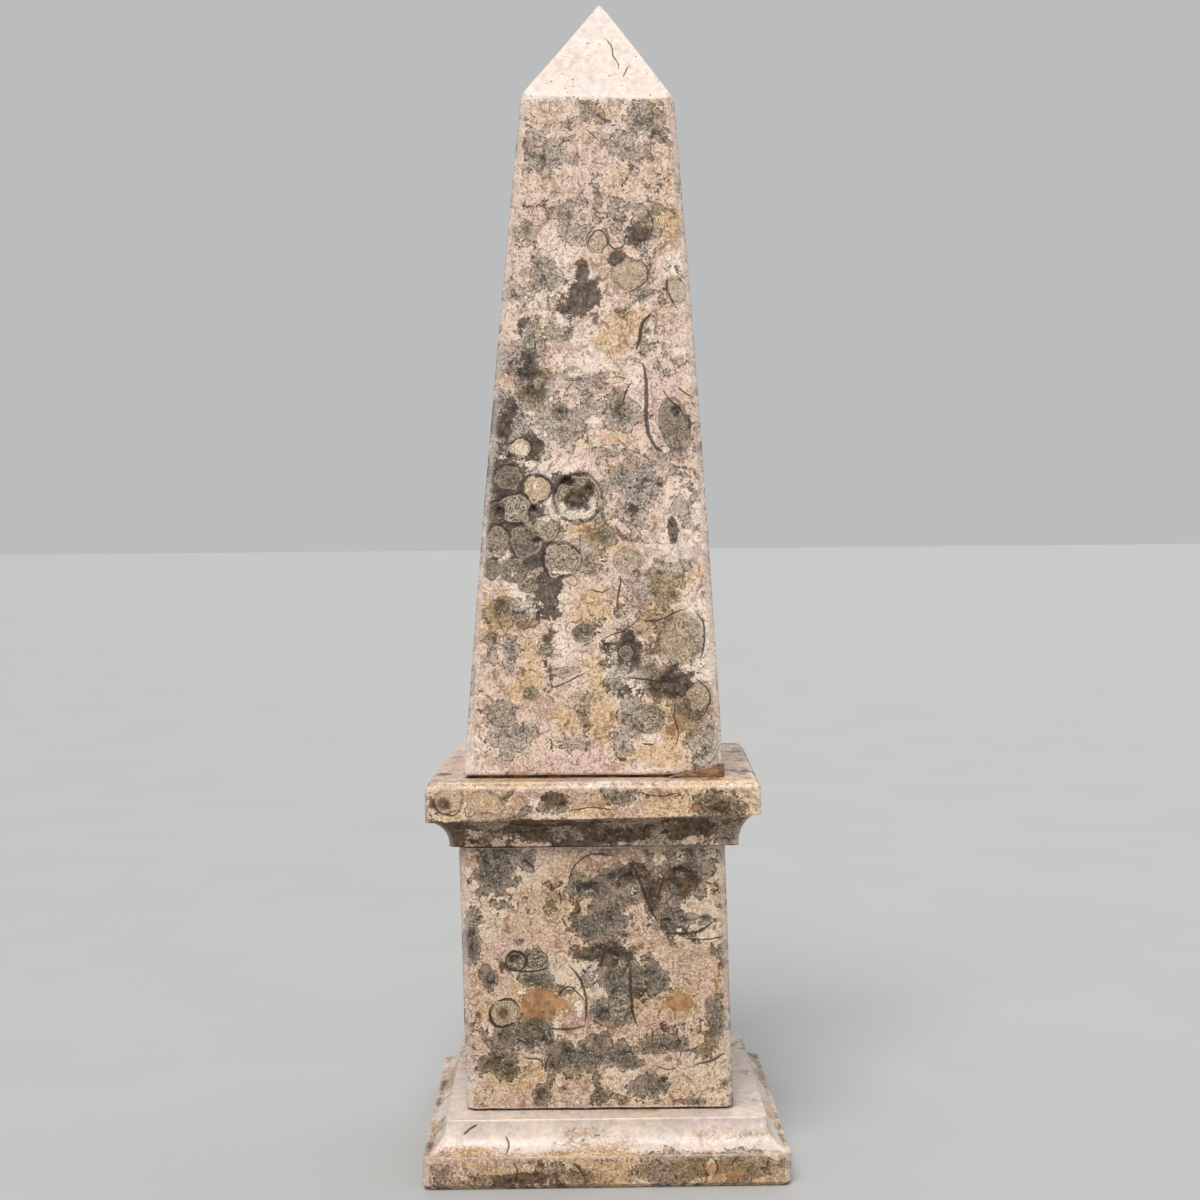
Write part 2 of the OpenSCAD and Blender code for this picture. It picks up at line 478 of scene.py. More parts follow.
def mark_stains(piece, stains, hollow, wear, bed):
    """Stains and clouds as values on the points: listed spots and the drift of the bed together."""
    points = points_of(piece)
    spots = np.zeros((len(points), 4))
    for kind, middle, radii, strength in stains:
        away = spread_from(points, middle, radii)
        column = STAIN_KINDS.index(kind)
        spots[:, column] = np.maximum(spots[:, column], strength * np.exp(-STAIN_FALL * away))
    seed = bed["seed"]
    at = points * np.array(bed.get("stretch", (1, 1, 1)))
    drift = np.column_stack([grain(at, 4.5, seed + k) for k in (1, 2, 3)])
    ripple = np.column_stack([grain(at, 1.6, seed + k) for k in (4, 5, 6)])
    swirl = at + 1.9 * drift + 0.7 * ripple
    shares = np.tile(np.array(bed["below"], float), (len(points), 1))
    # a bed's change of shares at its level also paints light and shade: paler upward faces on the base's
    # cove and the shaft's point, a greyer, darker underside cove on the cap
    if "above" in bed:
        low, high = bed["level"]
        change = np.array(bed["above"]) - np.array(bed["below"])
        shares += change * ease(points[:, 2], low, high)[:, None]
    grey, dark, ochre, pale = shares.T
    spots[:, 0] += 0.80 * clouds(swirl, 4.2, seed + 10) + grey
    spots[:, 1] += 0.80 * clouds(swirl, 3.6, seed + 20) + dark
    spots[:, 2] += 1.1 * clouds(swirl, 6.0, seed + 30) + ochre
    spots[:, 3] += 0.5 * clouds(swirl, 2.4, seed + 40)
    # the cream cloud takes in the pale share, so it also carries that painted light and shade
    cream = 1.3 * clouds(swirl, 9.0, seed + 50) + pale
    rose = 1.3 * clouds(swirl, 7.0, seed + 60) + bed.get("rose", 0)
    crowd = 1.3 * clouds(swirl, 3.5, seed + 70) + bed.get("crowd", 0)
    keep_mark(piece, "stain", "POINT", spots[:, :3])
    keep_mark(piece, "cloud", "POINT", np.column_stack([cream, rose, crowd]))
    keep_mark(piece, "worn_edge", "POINT", np.column_stack([wear, hollow, spots[:, 3]]))


def on_front(kinds, plane):
    """Stains set out on the front face: (x, z, across, tall, strength) of each, listed by kind."""
    return [
        (kind, (x, plane(x, z), z), (a, max(2.5, 0.8 * min(a, t)), t), strength)
        for kind, rows in kinds.items()
        for x, z, a, t, strength in rows
    ]


def shells_on_front(rows, plane):
    """Shells set out on the front face: (x, z, across, tall, tilt, dark, cream, rim)."""
    return [
        ((x, plane(x, z), z), (a, 0.7 * (a + t), t), tilt, (dark, cream, rim))
        for x, z, a, t, tilt, dark, cream, rim in rows
    ]


def elsewhere(seed, low, high, half_at, count, shell_count):
    """Stains and shells for a stone's other walls, of the same kinds and sizes as those in front."""
    dice = np.random.default_rng(seed)
    stains, shells = [], []

    def spot_on_wall(margin):
        z = low + (high - low) * dice.random()
        half = half_at(z)
        along = (2 * dice.random() - 1) * half
        wall = dice.integers(0, 3)
        x, y = ((-half, along), (half, along), (along, half))[wall]
        return x, max(y, -half + margin), z

    for _ in range(count):
        size = 1.3 + 3.8 * dice.random() ** 1.4
        radii = size * (0.7 + 0.8 * dice.random(3))
        spot = spot_on_wall(1.2 * radii[1] + 1.5)
        kind = USUAL_KINDS[dice.integers(0, len(USUAL_KINDS))]
        stains.append((kind, spot, tuple(radii), 0.65 + 0.45 * dice.random()))
    for _ in range(shell_count):
        size = 1.0 + 1.7 * dice.random() ** 1.5
        spot = spot_on_wall(2.2 * size)
        radii = size * (0.8 + 0.6 * dice.random(3))
        look = (float(dice.random() ** 2), float(dice.random() ** 2), 0.4 + 0.6 * dice.random())
        shells.append((spot, tuple(radii), 180 * dice.random(), look))
    return stains, shells


# ---- Finishes ----
def paint(*steps):
    """A colour given as red, green and blue in everyday 0 to 255 steps, as light strengths."""
    shares = [step / 255 for step in steps]
    linear = [c / 12.92 if c <= 0.04045 else ((c + 0.055) / 1.055) ** 2.4 for c in shares]
    return (*linear, 1.0)


def lumps(place, scale, detail=3.0, rough=0.5, bend=0.0, out=0):
    sockets = {"Vector": place, "Scale": scale, "Detail": detail}
    sockets.update({"Roughness": rough, "Distortion": bend})
    return place.node("ShaderNodeTexNoise", None, sockets, out=out)


def cells(place, scale, feature="F1", out="Distance"):
    sockets = {"Vector": place, "Scale": scale, "Randomness": 1.0}
    return place.node("ShaderNodeTexVoronoi", {"feature": feature}, sockets, out=out)


def mark(start, name):
    return start.node("ShaderNodeAttribute", {"attribute_name": name}, out="Vector")


def new_finish(name):
    """A new finish, its shader, and places on the piece in millimetres."""
    finish = bpy.data.materials.new(name)
    finish.use_nodes = True
    tree = finish.node_tree
    place = Wire(tree).node("ShaderNodeTexCoord", None, None, out="Object").scaled(1 / MM)
    return finish, tree.nodes["Principled BSDF"], place


def dress(shader, colour, gloss, height=None, strength=0.5, depth=0.0002, same=()):
    """Joins colour, roughness and relief to a shader, and sets what is the same all over."""
    joined = {"Base Color": colour, "Roughness": gloss}
    if height is not None:
        sockets = {"Strength": strength, "Distance": depth, "Height": height}
        joined["Normal"] = height.node("ShaderNodeBump", None, sockets)
    for name, wire in joined.items():
        wire.tree.links.new(wire.socket, shader.inputs[name])
    for name, value in dict(same).items():
        shader.inputs[name].default_value = value


PEACH, CREAM, ROSE = paint(208, 177, 154), paint(223, 200, 179), paint(202, 169, 155)
OCHRE, UMBER, CHALK = paint(194, 158, 108), paint(42, 28, 18), paint(222, 212, 204)
COAL, OLIVE, SILVER = paint(22, 19, 17), paint(88, 74, 46), paint(214, 206, 192)
BROWN, BONE = paint(122, 86, 58), paint(232, 214, 190)
MILK, LILAC = paint(222, 203, 187), paint(210, 197, 190)
HONEY, CLEAR, SOOT = paint(134, 92, 56), paint(172, 126, 84), paint(22, 17, 13)


def fragments(place, scale, width, reach, bend):
    """Bits of thin curved shell lying every way in the stone, seen where the cut passes through them."""
    middle = cells(place, scale, out="Position")
    tone = middle.twin("Color")
    local = place.moved(middle, "SUBTRACT")
    lean = tone.moved((-0.5, -0.5, -0.5)).unit()
    span = local.length()
    across = abs(local.dot(lean) + span * span * bend)
    thin = across.rise(width * 1.5, width * 0.5) * span.rise(reach, reach * 0.75)
    thick = across.rise(width * 4.0, width * 3.0) * span.rise(reach * 0.62, reach * 0.5)
    return thin, thick, tone.part("X")


def shell_layer(local, look, fine, slow):
    """Where one shell shows: its inside, pale wall, broken outlines, and how far from its middle."""
    away = local.length() + (fine * 0.26 + slow * 0.60)
    strength = look.part("Z")
    body = away.rise(1.03, 0.97) * strength.rise(0.05, 0.3)
    broken = (slow + fine * 0.6).rise(-0.10, 0.03)
    wall = away.rise(0.80, 0.87) * away.rise(1.02, 0.96) * strength * (1 - broken * 0.7)
    outer = abs(away - 1.02).rise(0.14, 0.05) * (0.55 + broken * 0.45) * strength
    inner = abs(away - 0.80).rise(0.05, 0.01) * (1 - broken) * strength
    return away, body, wall, outer.most(inner * 0.8)


def limestone(
    name, shift, spar_tone, spar_cover=0.92, tone=1.0, soft=0.01, faint=0.72,
    murk_tone=paint(104, 76, 48), bed_tones=(PEACH, CREAM, ROSE),
):
    """Polished fossil limestone, each stone cut from another place in the bed.

    Soft is how gently grey patches end, and faint how strongly the weak ones show."""
    peach, cream, rose = bed_tones
    finish, shader, start = new_finish(name)
    place = start.moved(shift)
    ripple = place.moved(lumps(place, 1.2, 1.0, out=1).moved((-0.5, -0.5, -0.5)).scaled(0.45))
    fine = lumps(place, 1.9, 3.0, 0.68) - 0.5
    slow = lumps(place, 0.5, 1.0) - 0.5
    mottle = lumps(ripple, 0.8, 4.0, 0.70)
    grit = lumps(place, 3.4, 3.0, 0.80)
    facets = cells(place, 3.6, out="Color").part("X")
    stain, cloud, edge_mark = mark(start, "stain"), mark(start, "cloud"), mark(start, "worn_edge")
    wear, hollow = edge_mark.part("X"), edge_mark.part("Y")
    pale_spot = edge_mark.part("Z") + fine * 0.6

    # the pale ground mass, with its warm and cold clouds
    ground = (cloud.part("X") + fine * 0.5).rise(-0.14, 0.26).mix(peach, cream)
    ground = ((cloud.part("Y") + fine * 0.5).rise(0.02, 0.34) * 0.8).mix(ground, rose)
    ground = ((stain.part("Z") + fine * 0.6).rise(0.22, 0.60) * 0.75).mix(ground, OCHRE)
    # calm, milky stone where the pale cloud runs high; on the shaft's point and the base's cove, where
    # the bed's pale share lifts it, this also paints light on the upward faces, with less speckle
    calm_and_lit = (cloud.part("X") + fine * 0.4).rise(0.45, 0.75)
    coarse = 1 - calm_and_lit * 0.85
    healed_and_lit = (slow + fine * 0.25).rise(-0.16, 0.16).mix(MILK, LILAC)
    ground = (calm_and_lit * 0.80).mix(ground, healed_and_lit)
    ground = ground.scaled((0.60 + 0.76 * mottle) * tone)
    speckle = (mottle + cloud.part("Z") * 0.30 + fine * 0.3).rise(0.47, 0.36)
    ground = (speckle * coarse * 0.45).mix(ground, BROWN)
    flour = lumps(place, 2.6, 2.0, 0.7)
    ground = (flour.rise(0.54, 0.62) * coarse * 0.55).mix(ground, BONE)
    ground = (flour.rise(0.46, 0.36) * coarse * 0.60).mix(ground, BROWN)

    # broken shell: small dashes and larger bows, brown or bone white
    dash, chip, dash_tone = fragments(ripple, 1.15, 0.05, 0.62, 0.6)
    bow, slab, bow_tone = fragments(ripple.moved((31, 7, 12)), 0.40, 0.07, 1.9, 0.28)
    dash = dash * (cloud.part("Z") + 0.5).rise(0.15, 0.45) * coarse
    ground = (chip * dash_tone.rise(0.86, 0.90) * coarse * 0.60).mix(ground, HONEY)
    ground = (slab * bow_tone.rise(0.80, 0.84) * coarse * 0.75).mix(ground, HONEY)
    ground = (dash * dash_tone.rise(0.60, 0.50) * 0.55).mix(ground, UMBER)
    ground = (dash * dash_tone.rise(0.72, 0.78) * 0.70).mix(ground, BONE)
    ground = (bow * bow_tone.rise(0.60, 0.50) * coarse * 0.55).mix(ground, UMBER)

    # grey sparry patches, grainy inside, dark along parts of their edge
    grey_field = stain.part("X") + fine * 0.60 + slow * 0.70 + (mottle - 0.5) * 0.20
    shown = faint + (1 - faint) * stain.part("X").rise(0.50, 0.85)
    grey = grey_field.rise(0.42 - soft, 0.42 + soft) * shown
    halo = grey_field.rise(0.26 - soft * 2, 0.40) * facets.rise(0.36, 0.30)
    sparkle = (grit + (facets - 0.5) * 0.12).rise(0.40, 0.60)
    spar = (stain.part("Z") + slow * 1.2 + fine).rise(0.12, 0.62).mix(spar_tone, OLIVE)
    spar = spar.scaled((0.30 + 1.25 * sparkle) * (0.55 + 0.90 * mottle))
    core = (mottle + slow * 0.8).rise(0.56, 0.66)
    spar = (core * 0.72).mix(spar, COAL)
    spar = (facets.rise(0.93, 0.96) * grit.rise(0.46, 0.56) * 0.50).mix(spar, SILVER)
    spar = (facets.rise(0.13, 0.09) * 0.80).mix(spar, COAL)
    stone = (halo * 0.45).mix(ground, spar)
    stone = (grey * spar_cover).mix(stone, spar)
    shore = abs(grey_field - 0.44).rise(0.06, 0.02) * fine.rise(-0.10, 0.05)
    stone = (shore * 0.80).mix(stone, UMBER)
    rim = abs(grey_field - 0.35).rise(0.05, 0.02) * slow.rise(0.03, -0.04)
    stone = (rim * 0.45).mix(stone, BONE)

    # outlines of crowded shells, broken and half healed
    web = cells(ripple.moved((5, 17, 9)), 0.30, "DISTANCE_TO_EDGE").rise(0.075, 0.02)
    web = web * (slow * 0.8 + fine).rise(-0.01, 0.07) * coarse
    stone = (web * (0.30 + 0.45 * grey)).mix(stone, UMBER)

    # clear amber crystals
    amber = (stain.part("Z") + fine * 0.7 + slow * 0.4).rise(1.02, 1.08)
    stone = (amber * 0.85).mix(stone, mottle.rise(0.38, 0.62).mix(HONEY, CLEAR))

    # dark brown calcite
    dark_field = stain.part("Y") + fine * 0.8 + slow * 0.4
    dark = dark_field.rise(0.40, 0.43)
    murk = (mottle + fine * 0.6).rise(0.38, 0.66).mix(SOOT, murk_tone)
    murk = (facets.rise(0.95, 0.98) * 0.2).mix(murk, SILVER)
    stone = (dark * 0.90).mix(stone, murk)

    # whole shells
    sunk = dash * 0.3
    for key in ("shell_next", "shell_near"):
        local, look = mark(start, key), mark(start, key + "_look")
        away, inside, wall, outline = shell_layer(local, look, fine, slow)
        creamy = look.part("Y")
        rings = ((away * 34.0 + slow * 9.0).sine() * 0.5 + 0.5) * creamy
        grains = sparkle.mix(paint(96, 78, 58), paint(196, 178, 152))
        cream_grains = sparkle.mix(paint(188, 150, 116), paint(226, 202, 172))
        fill = flour.rise(0.42, 0.58).mix(spar, grains)
        fill = (creamy * 0.85).mix(fill, cream_grains)
        fill = (rings * 0.50).mix(fill, BROWN)
        fill = (look.part("X") * 0.9).mix(fill, murk)
        fill = fill.scaled(0.45 + 1.05 * mottle)
        stone = (inside * (0.62 + 0.38 * look.part("Z"))).mix(stone, fill)
        stone = (wall * 0.60).mix(stone, paint(190, 168, 144))
        stone = (outline * 0.90).mix(stone, UMBER)
        sunk = sunk.most(outline * 0.7)

    # pale crystals and shell bits
    pale = (pale_spot + (grit - 0.5) * 1.2).rise(0.50, 0.62)
    stone = (pale * 0.80).mix(stone, sparkle.mix(paint(186, 164, 136), paint(236, 224, 204)))

    # drawn lines: shell edges and healed cracks
    line = mark(start, "drawn_line")
    wander = slow * 0.30 + fine * 0.35
    taper = 1 - abs(line.part("Y")) ** 4
    drawn = (line.part("Z") * taper - abs(line.part("X") + wander)).rise(-0.05, 0.05)
    stone = (drawn * 0.85).mix(stone, UMBER)

    # pinholes, open hollows, rubbed edges
    pin = cells(place.moved((1, 6, 4)), 0.8).rise(0.16, 0.09) * cloud.part("Z").rise(-0.05, 0.15)
    stone = (pin * 0.8).mix(stone, paint(60, 44, 34))
    # hollows darken the deeper in they lie: partly their dark brown fill, partly painted shade in the
    # hollows
    stone = (hollow * 0.85).mix(stone, murk.scaled(0.7))
    stone = (wear * 0.45).mix(stone, CHALK)

    sunk = sunk.most(drawn * 0.9).most(pin).most(web * 0.5)
    rasp = (grit - 0.5) * (0.05 + grey * 0.25 + hollow * 0.8)
    height = (1 - sunk) * 0.6 + rasp + mottle * 0.05
    gloss = 0.30 + grey * 0.06 + mottle * 0.10 + wear * 0.22 + sunk * 0.25 - hollow * 0.12
    polish = {"Specular IOR Level": 0.32, "Coat Weight": 0.12, "Coat Roughness": 0.18}
    dress(shader, stone, gloss, height, 0.55, 0.00022, polish)
    return finish


def set_glue(name):
    """Dark brown adhesive, squeezed thin and set hard."""
    finish, shader, place = new_finish(name)
    smear = lumps(place, 0.5, 4.0, 0.6)
    grit = lumps(place, 2.5, 3.0, 0.7)
    colour = smear.rise(0.42, 0.62).mix(paint(48, 32, 24), paint(124, 82, 56))
    colour = (grit.rise(0.55, 0.70) * 0.5).mix(colour, paint(150, 122, 98))
    dress(shader, colour, 0.45 + grit * 0.25, grit + smear, 0.6)
    return finish


def amber_resin(name):
    """Amber filling resin with darker streaks, glossier than the stone."""
    finish, shader, place = new_finish(name)
    streak = lumps(place.moved((0.6, 1.0, 2.4), "MULTIPLY"), 0.8, 4.0, 0.6, 0.6)
    colour = streak.rise(0.38, 0.64).mix(paint(92, 60, 38), paint(150, 108, 74))
    colour = (lumps(place, 1.7, 3.0).rise(0.60, 0.72) * 0.6).mix(colour, paint(64, 38, 24))
    wet = {"Coat Weight": 0.5, "Coat Roughness": 0.12}
    dress(shader, colour, 0.26 + streak * 0.15, streak, 0.4, same=wet)
    return finish


def pale_table(name):
    """The plain pale table top, with a faint unevenness."""
    finish, shader, place = new_finish(name)
    cloud = lumps(place, 0.02, 4.0, 0.6)
    colour = cloud.rise(0.3, 0.7).mix(paint(168, 167, 165), paint(171, 170, 168))
    dress(shader, colour, 0.55 + cloud * 0.1)
    return finish


# ---- Cutting the stones ----
def edge_share(points, corners, arris=0.85, rim=0.8):
    """How close each point is to an edge of its stone, from 0 to 1."""
    east, north = np.abs(points[:, 0]), np.abs(points[:, 1])
    half, other = np.maximum(east, north), np.minimum(east, north)
    near = ease(1 - (half - other) / (arris * 1.9), 0.0, 0.75)
    for corner_half, corner_z in corners:
        away = np.hypot(half - corner_half, points[:, 2] - corner_z)
        near = np.maximum(near, ease(1 - away / rim, 0.0, 0.8))
    return near


def finish_stone(piece, points, at, turn, edge, seed, pits, refine_spots=()):
    """Stands the stone in its place, splits faces at small hollows, and wears it."""
    keep_mark(piece, "edge", "POINT", np.column_stack([edge, edge, edge]))
    put_points(piece, place_stone(points, at, turn))
    if refine_spots:
        refine(piece, refine_spots)
    edge = np.empty(len(piece.data.vertices) * 3, np.float32)
    piece.data.attributes["edge"].data.foreach_get("vector", edge)
    edge = edge.reshape(-1, 3)[:, 0].astype(float)
    normals = normals_of(piece)
    points, wear = worn(points_of(piece), normals, edge, seed)
    points, inside = hollows(points, normals, pits, seed + 20)
    put_points(piece, points)
    piece.data.attributes.remove(piece.data.attributes["edge"])
    return wear, inside


def base_stone():
    low, high = level("base_plinth", False), level("base_plinth", True)
    half = BASE_W / 2
    ledge = (half - BASE_LEDGE, BASE_FACE_H)
    inner = (half - BASE_LEDGE - BASE_COVE, high)
    profile = walk([(HEART, low), (half - 4, low)], FLAT)
    foot = [(half - BASE_BEVEL, low), (half, low + BASE_BEVEL)]
    profile += walk([(half - 4, low), *foot, (half, BASE_FACE_H), ledge], FINE)[1:]
    profile += cove_arc(ledge, inner, BASE_HOLLOW, 16)[1:]
    profile += walk([inner, (BASE_FLAT, high)], 0.42)[1:]
    profile += walk([(BASE_FLAT, high), (HEART, high)], 3.0)[1:]
    points, faces, around, rows = cut_stone(profile, 136, lambda z: BASE_CORNER)
    edge = edge_share(points, [(half, BASE_FACE_H)], arris=0.8, rim=0.6)
    piece = make_mesh("base_plinth_stone", points, faces, around, rows)
    return piece, finish_stone(piece, points, (0, 0), 0, edge, 11, BASE_PITS)


def die_stone():
    low, high = level("die", False), level("die", True)
    foot, top = DIE_FOOT_W / 2, DIE_TOP_W / 2
    profile = walk([(HEART, low), (foot - 2, low)], FLAT)
    profile += walk([(foot - 2, low), (foot, low), (top, high), (top - 2, high)], FINE)[1:]
    profile += walk([(top - 2, high), (HEART, high)], FLAT)[1:]
    points, faces, around, rows = cut_stone(profile, 120, lambda z: DIE_CORNER)
    edge = edge_share(points, [(foot, low), (top, high)], arris=0.85, rim=0.5)
    points[:, 0] += DIE_LEAN * (points[:, 2] - low) / (high - low)
    piece = make_mesh("die_stone", points, faces, around, rows)
    spots = refine_spots_of(DIE_PITS)
    return piece, finish_stone(piece, points, DIE_AT, DIE_TURN, edge, 31, DIE_PITS, spots)


def cap_stone():
    low, high = level("cap", False), level("cap", True)
    half = CAP_W / 2
    cove_top = low + CAP_COVE_H
    ledge = (half - CAP_LEDGE, cove_top)
    inner = (half - CAP_LEDGE - CAP_COVE, low)
    profile = walk([(HEART, low), (CAP_FLAT, low)], FLAT) + walk([(CAP_FLAT, low), inner], 0.6)[1:]
    profile += cove_arc(ledge, inner, CAP_HOLLOW, 16)[::-1][1:]
    bevel = [(half, high - CAP_BEVEL), (half - CAP_BEVEL, high)]
    profile += walk([ledge, (half, cove_top), *bevel, (CAP_FLAT, high)], FINE)[1:]
    profile += walk([(CAP_FLAT, high), (HEART, high)], 3.0)[1:]
    points, faces, around, rows = cut_stone(profile, 128, lambda z: CAP_CORNER)
    edge = edge_share(points, bevel, arris=0.6, rim=0.5)
    climb = ease(points[:, 2], low, cove_top) * ease(points[:, 2], high - CAP_BEVEL, cove_top)
    points[:, 2] += CAP_SKEW * points[:, 0] / CAP_W * climb
    piece = make_mesh("cap_stone", points, faces, around, rows)
    return piece, finish_stone(piece, points, CAP_AT, CAP_TURN, edge, 51, CAP_PITS)


def shaft_half(share):
    """Half the shaft's width at a share of its height, with its slight belly."""
    straight = (SHAFT_FOOT_W + (SHAFT_TOP_W - SHAFT_FOOT_W) * share) / 2
    return straight + 4 * SHAFT_BELLY * share * (1 - share)


def shaft_stone():
    low, high = level("shaft", False), level("shaft", True)
    shoulder = low + SHAFT_H
    hip = shoulder + POINT_H * (SHAFT_CORNER - POINT_CORNER) / (SHAFT_TOP_W - TIP_W)
    profile = walk([(HEART, low), (SHAFT_FLAT, low)], FLAT)
    profile += walk([(SHAFT_FLAT, low), (SHAFT_FOOT_W / 2, low)], 0.5)[1:]
    sides = [(shaft_half(k / 40), low + SHAFT_H * k / 40) for k in range(1, 41)]
    profile += walk([profile[-1], *sides], 0.5, edge=0.0)[1:]
    # one more ring close under the shoulder keeps its edge sharp
    profile.insert(-1, (profile[-1][0] + 0.01, shoulder - 0.12))
    profile += walk([profile[-1], (TIP_W / 2, high)], 0.6)[1:] + [(TIP_W / 4, high)]

    def corner_at(z):
        fade = min(1.0, max(0.0, (z - shoulder) / (hip - shoulder)))
        return SHAFT_CORNER + (POINT_CORNER - SHAFT_CORNER) * fade

    points, faces, around, rows = cut_stone(profile, 76, corner_at)
    rims = [(SHAFT_FOOT_W / 2, low), (SHAFT_TOP_W / 2, shoulder)]
    edge = edge_share(points, rims, arris=0.85, rim=0.5)
    edge *= 1 - 0.6 * ease(points[:, 2], shoulder - 1, shoulder + 3)
    # the chipped corner: points beyond its plane are drawn back onto it
    east, north = SHAFT_FOOT_W / 2 - points[:, 0], points[:, 1] + SHAFT_FOOT_W / 2
    up = points[:, 2] - low
    slope = np.array([-1 / CHIP_FRONT, 1 / CHIP_SIDE, 1 / CHIP_H])
    gone = np.clip(1 - (east / CHIP_FRONT + north / CHIP_SIDE + up / CHIP_H), 0, None)
    points += gone[:, None] * slope[None] / (slope @ slope)
    tilt = ease(points[:, 2], shoulder - 9, shoulder) * ease(points[:, 2], high, shoulder)
    points[:, 2] -= SHOULDER_SKEW * points[:, 0] / SHAFT_TOP_W * tilt
    points[:, 0] += SHAFT_LEAN * (points[:, 2] - low) / SHAFT_H
    piece = make_mesh("shaft_stone", points, faces, around, rows)
    spots = refine_spots_of(SHAFT_PITS)
    return piece, finish_stone(piece, points, SHAFT_AT, SHAFT_TURN, edge, 71, SHAFT_PITS, spots)


def refine_spots_of(pits):
    """The deep pits in front: (x, y, z, larger radius) of each."""
    deep = [pit for pit in pits if pit[5] > DEEP_PIT and pit[1] < 0]
    return [(x, y, z, max(wide, tall)) for x, y, z, wide, tall, _ in deep]


def glue_bed(node, name, width, corner, at, turn, shift, seed, spread):
    """A thin bed of adhesive with a ragged squeezed-out rim between two stones."""
    low, high = level(node, False), level(node, True)
    half = width / 2 - JOINT_SETBACK
    middle = (low + high) / 2
    profile = walk([(HEART, low), (half - 1, low)], 5.0) + [(half - 0.4, low), (half, low)]
    profile += [(half, middle), (half, high), (half - 0.4, high)]
    profile += walk([(half - 1, high), (HEART, high)], 5.0)
    points, faces, around, rows = cut_stone(profile, 150, lambda z: corner)
    rim = np.maximum(np.abs(points[:, 0]), np.abs(points[:, 1])) > half - 0.2
    push = spread * np.clip(grain(points, 2.2, seed) + 0.6 * grain(points, 0.9, seed + 1), -0.9, 1.0)
    out = points[:, :2] / np.maximum(np.abs(points[:, :2]).max(axis=1), 1)[:, None]
    points[:, :2] += out * (push * rim)[:, None]
    points[:, 0] += shift
    return make_mesh(name, place_stone(points, at, turn), faces, around, rows)


def resin_filling():
    """The resin in the broken corner: the corner's own form, softened and a little uneven."""
    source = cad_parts["corner_fill"]
    work = bmesh.new()
    work.from_mesh(source.data)
    bmesh.ops.remove_doubles(work, verts=work.verts, dist=1e-6)
    for _ in range(4):
        bmesh.ops.subdivide_edges(work, edges=work.edges, cuts=1)
        bmesh.ops.triangulate(work, faces=work.faces)
    axes = dict.fromkeys(("use_axis_x", "use_axis_y", "use_axis_z"), True)
    bmesh.ops.smooth_vert(work, verts=work.verts, factor=0.4, **axes)
    mesh = bpy.data.meshes.new("resin_filling")
    work.to_mesh(mesh)
    work.free()
    mesh.shade_smooth()
    piece = bring_in("resin_filling", mesh)
    points = points_of(piece)
    points += normals_of(piece) * (0.07 * grain(points, 1.3, 91))[:, None]
    low = level("corner_fill", False)
    points[:, 2] = np.maximum(points[:, 2], low)
    put_points(piece, points)
    return piece


# ---- What shows on the front of each stone ----
def shaft_front(x, z):
    share = (z - level("shaft", False)) / SHAFT_H
    return -shaft_half(min(1.0, share)) + (x - SHAFT_AT[0]) * math.tan(math.radians(SHAFT_TURN))


def die_front(x, z):
    return DIE_AT[1] - DIE_FOOT_W / 2 + x * math.tan(math.radians(DIE_TURN))


def cap_front(x, z):
    return CAP_AT[1] - CAP_W / 2 + x * math.tan(math.radians(CAP_TURN))


def base_front(x, z):
    return -BASE_W / 2


# pits: x, y, z, radius across, radius up, depth
SHAFT_PITS = [
    (-5.2, -18.0, 116.4, 1.6, 1.0, 1.7), (-1.8, -18.2, 115.0, 0.9, 1.6, 1.4),
    (-3.8, -18.2, 113.2, 2.7, 2.6, 0.9), (-17.0, -17.7, 111.4, 1.2, 1.3, 0.9),
    (-11.4, -18.4, 111.9, 0.8, 0.7, 0.7), (-13.4, -18.4, 109.2, 0.9, 0.6, 0.6),
    (8.4, -16.2, 141.4, 0.9, 1.6, 0.5), (-6.7, -17.1, 128.2, 0.7, 0.8, 0.5),
    (10.0, -18.7, 115.6, 0.8, 0.7, 0.6), (12.9, -18.0, 128.2, 0.9, 1.4, 0.5),
    (-14.9, -17.2, 120.6, 1.1, 0.8, 0.5), (-10.6, -18.5, 106.6, 1.2, 0.7, 0.6),
    (18.4, 3.0, 112.0, 1.9, 1.6, 0.7), (17.6, -6.0, 125.0, 1.1, 1.4, 0.5),
    (20.0, 9.0, 88.0, 1.4, 1.0, 0.5), (-4.0, 18.0, 118.0, 1.8, 1.5, 0.7),
    (7.0, 19.6, 96.0, 1.2, 1.5, 0.5), (-3.0, 15.8, 152.0, 1.3, 1.0, 0.5),
    (-18.6, 5.0, 108.0, 1.7, 1.4, 0.7), (-17.2, -5.0, 131.0, 1.2, 1.0, 0.5),
    (-20.4, -8.0, 82.0, 1.2, 1.4, 0.5),
]
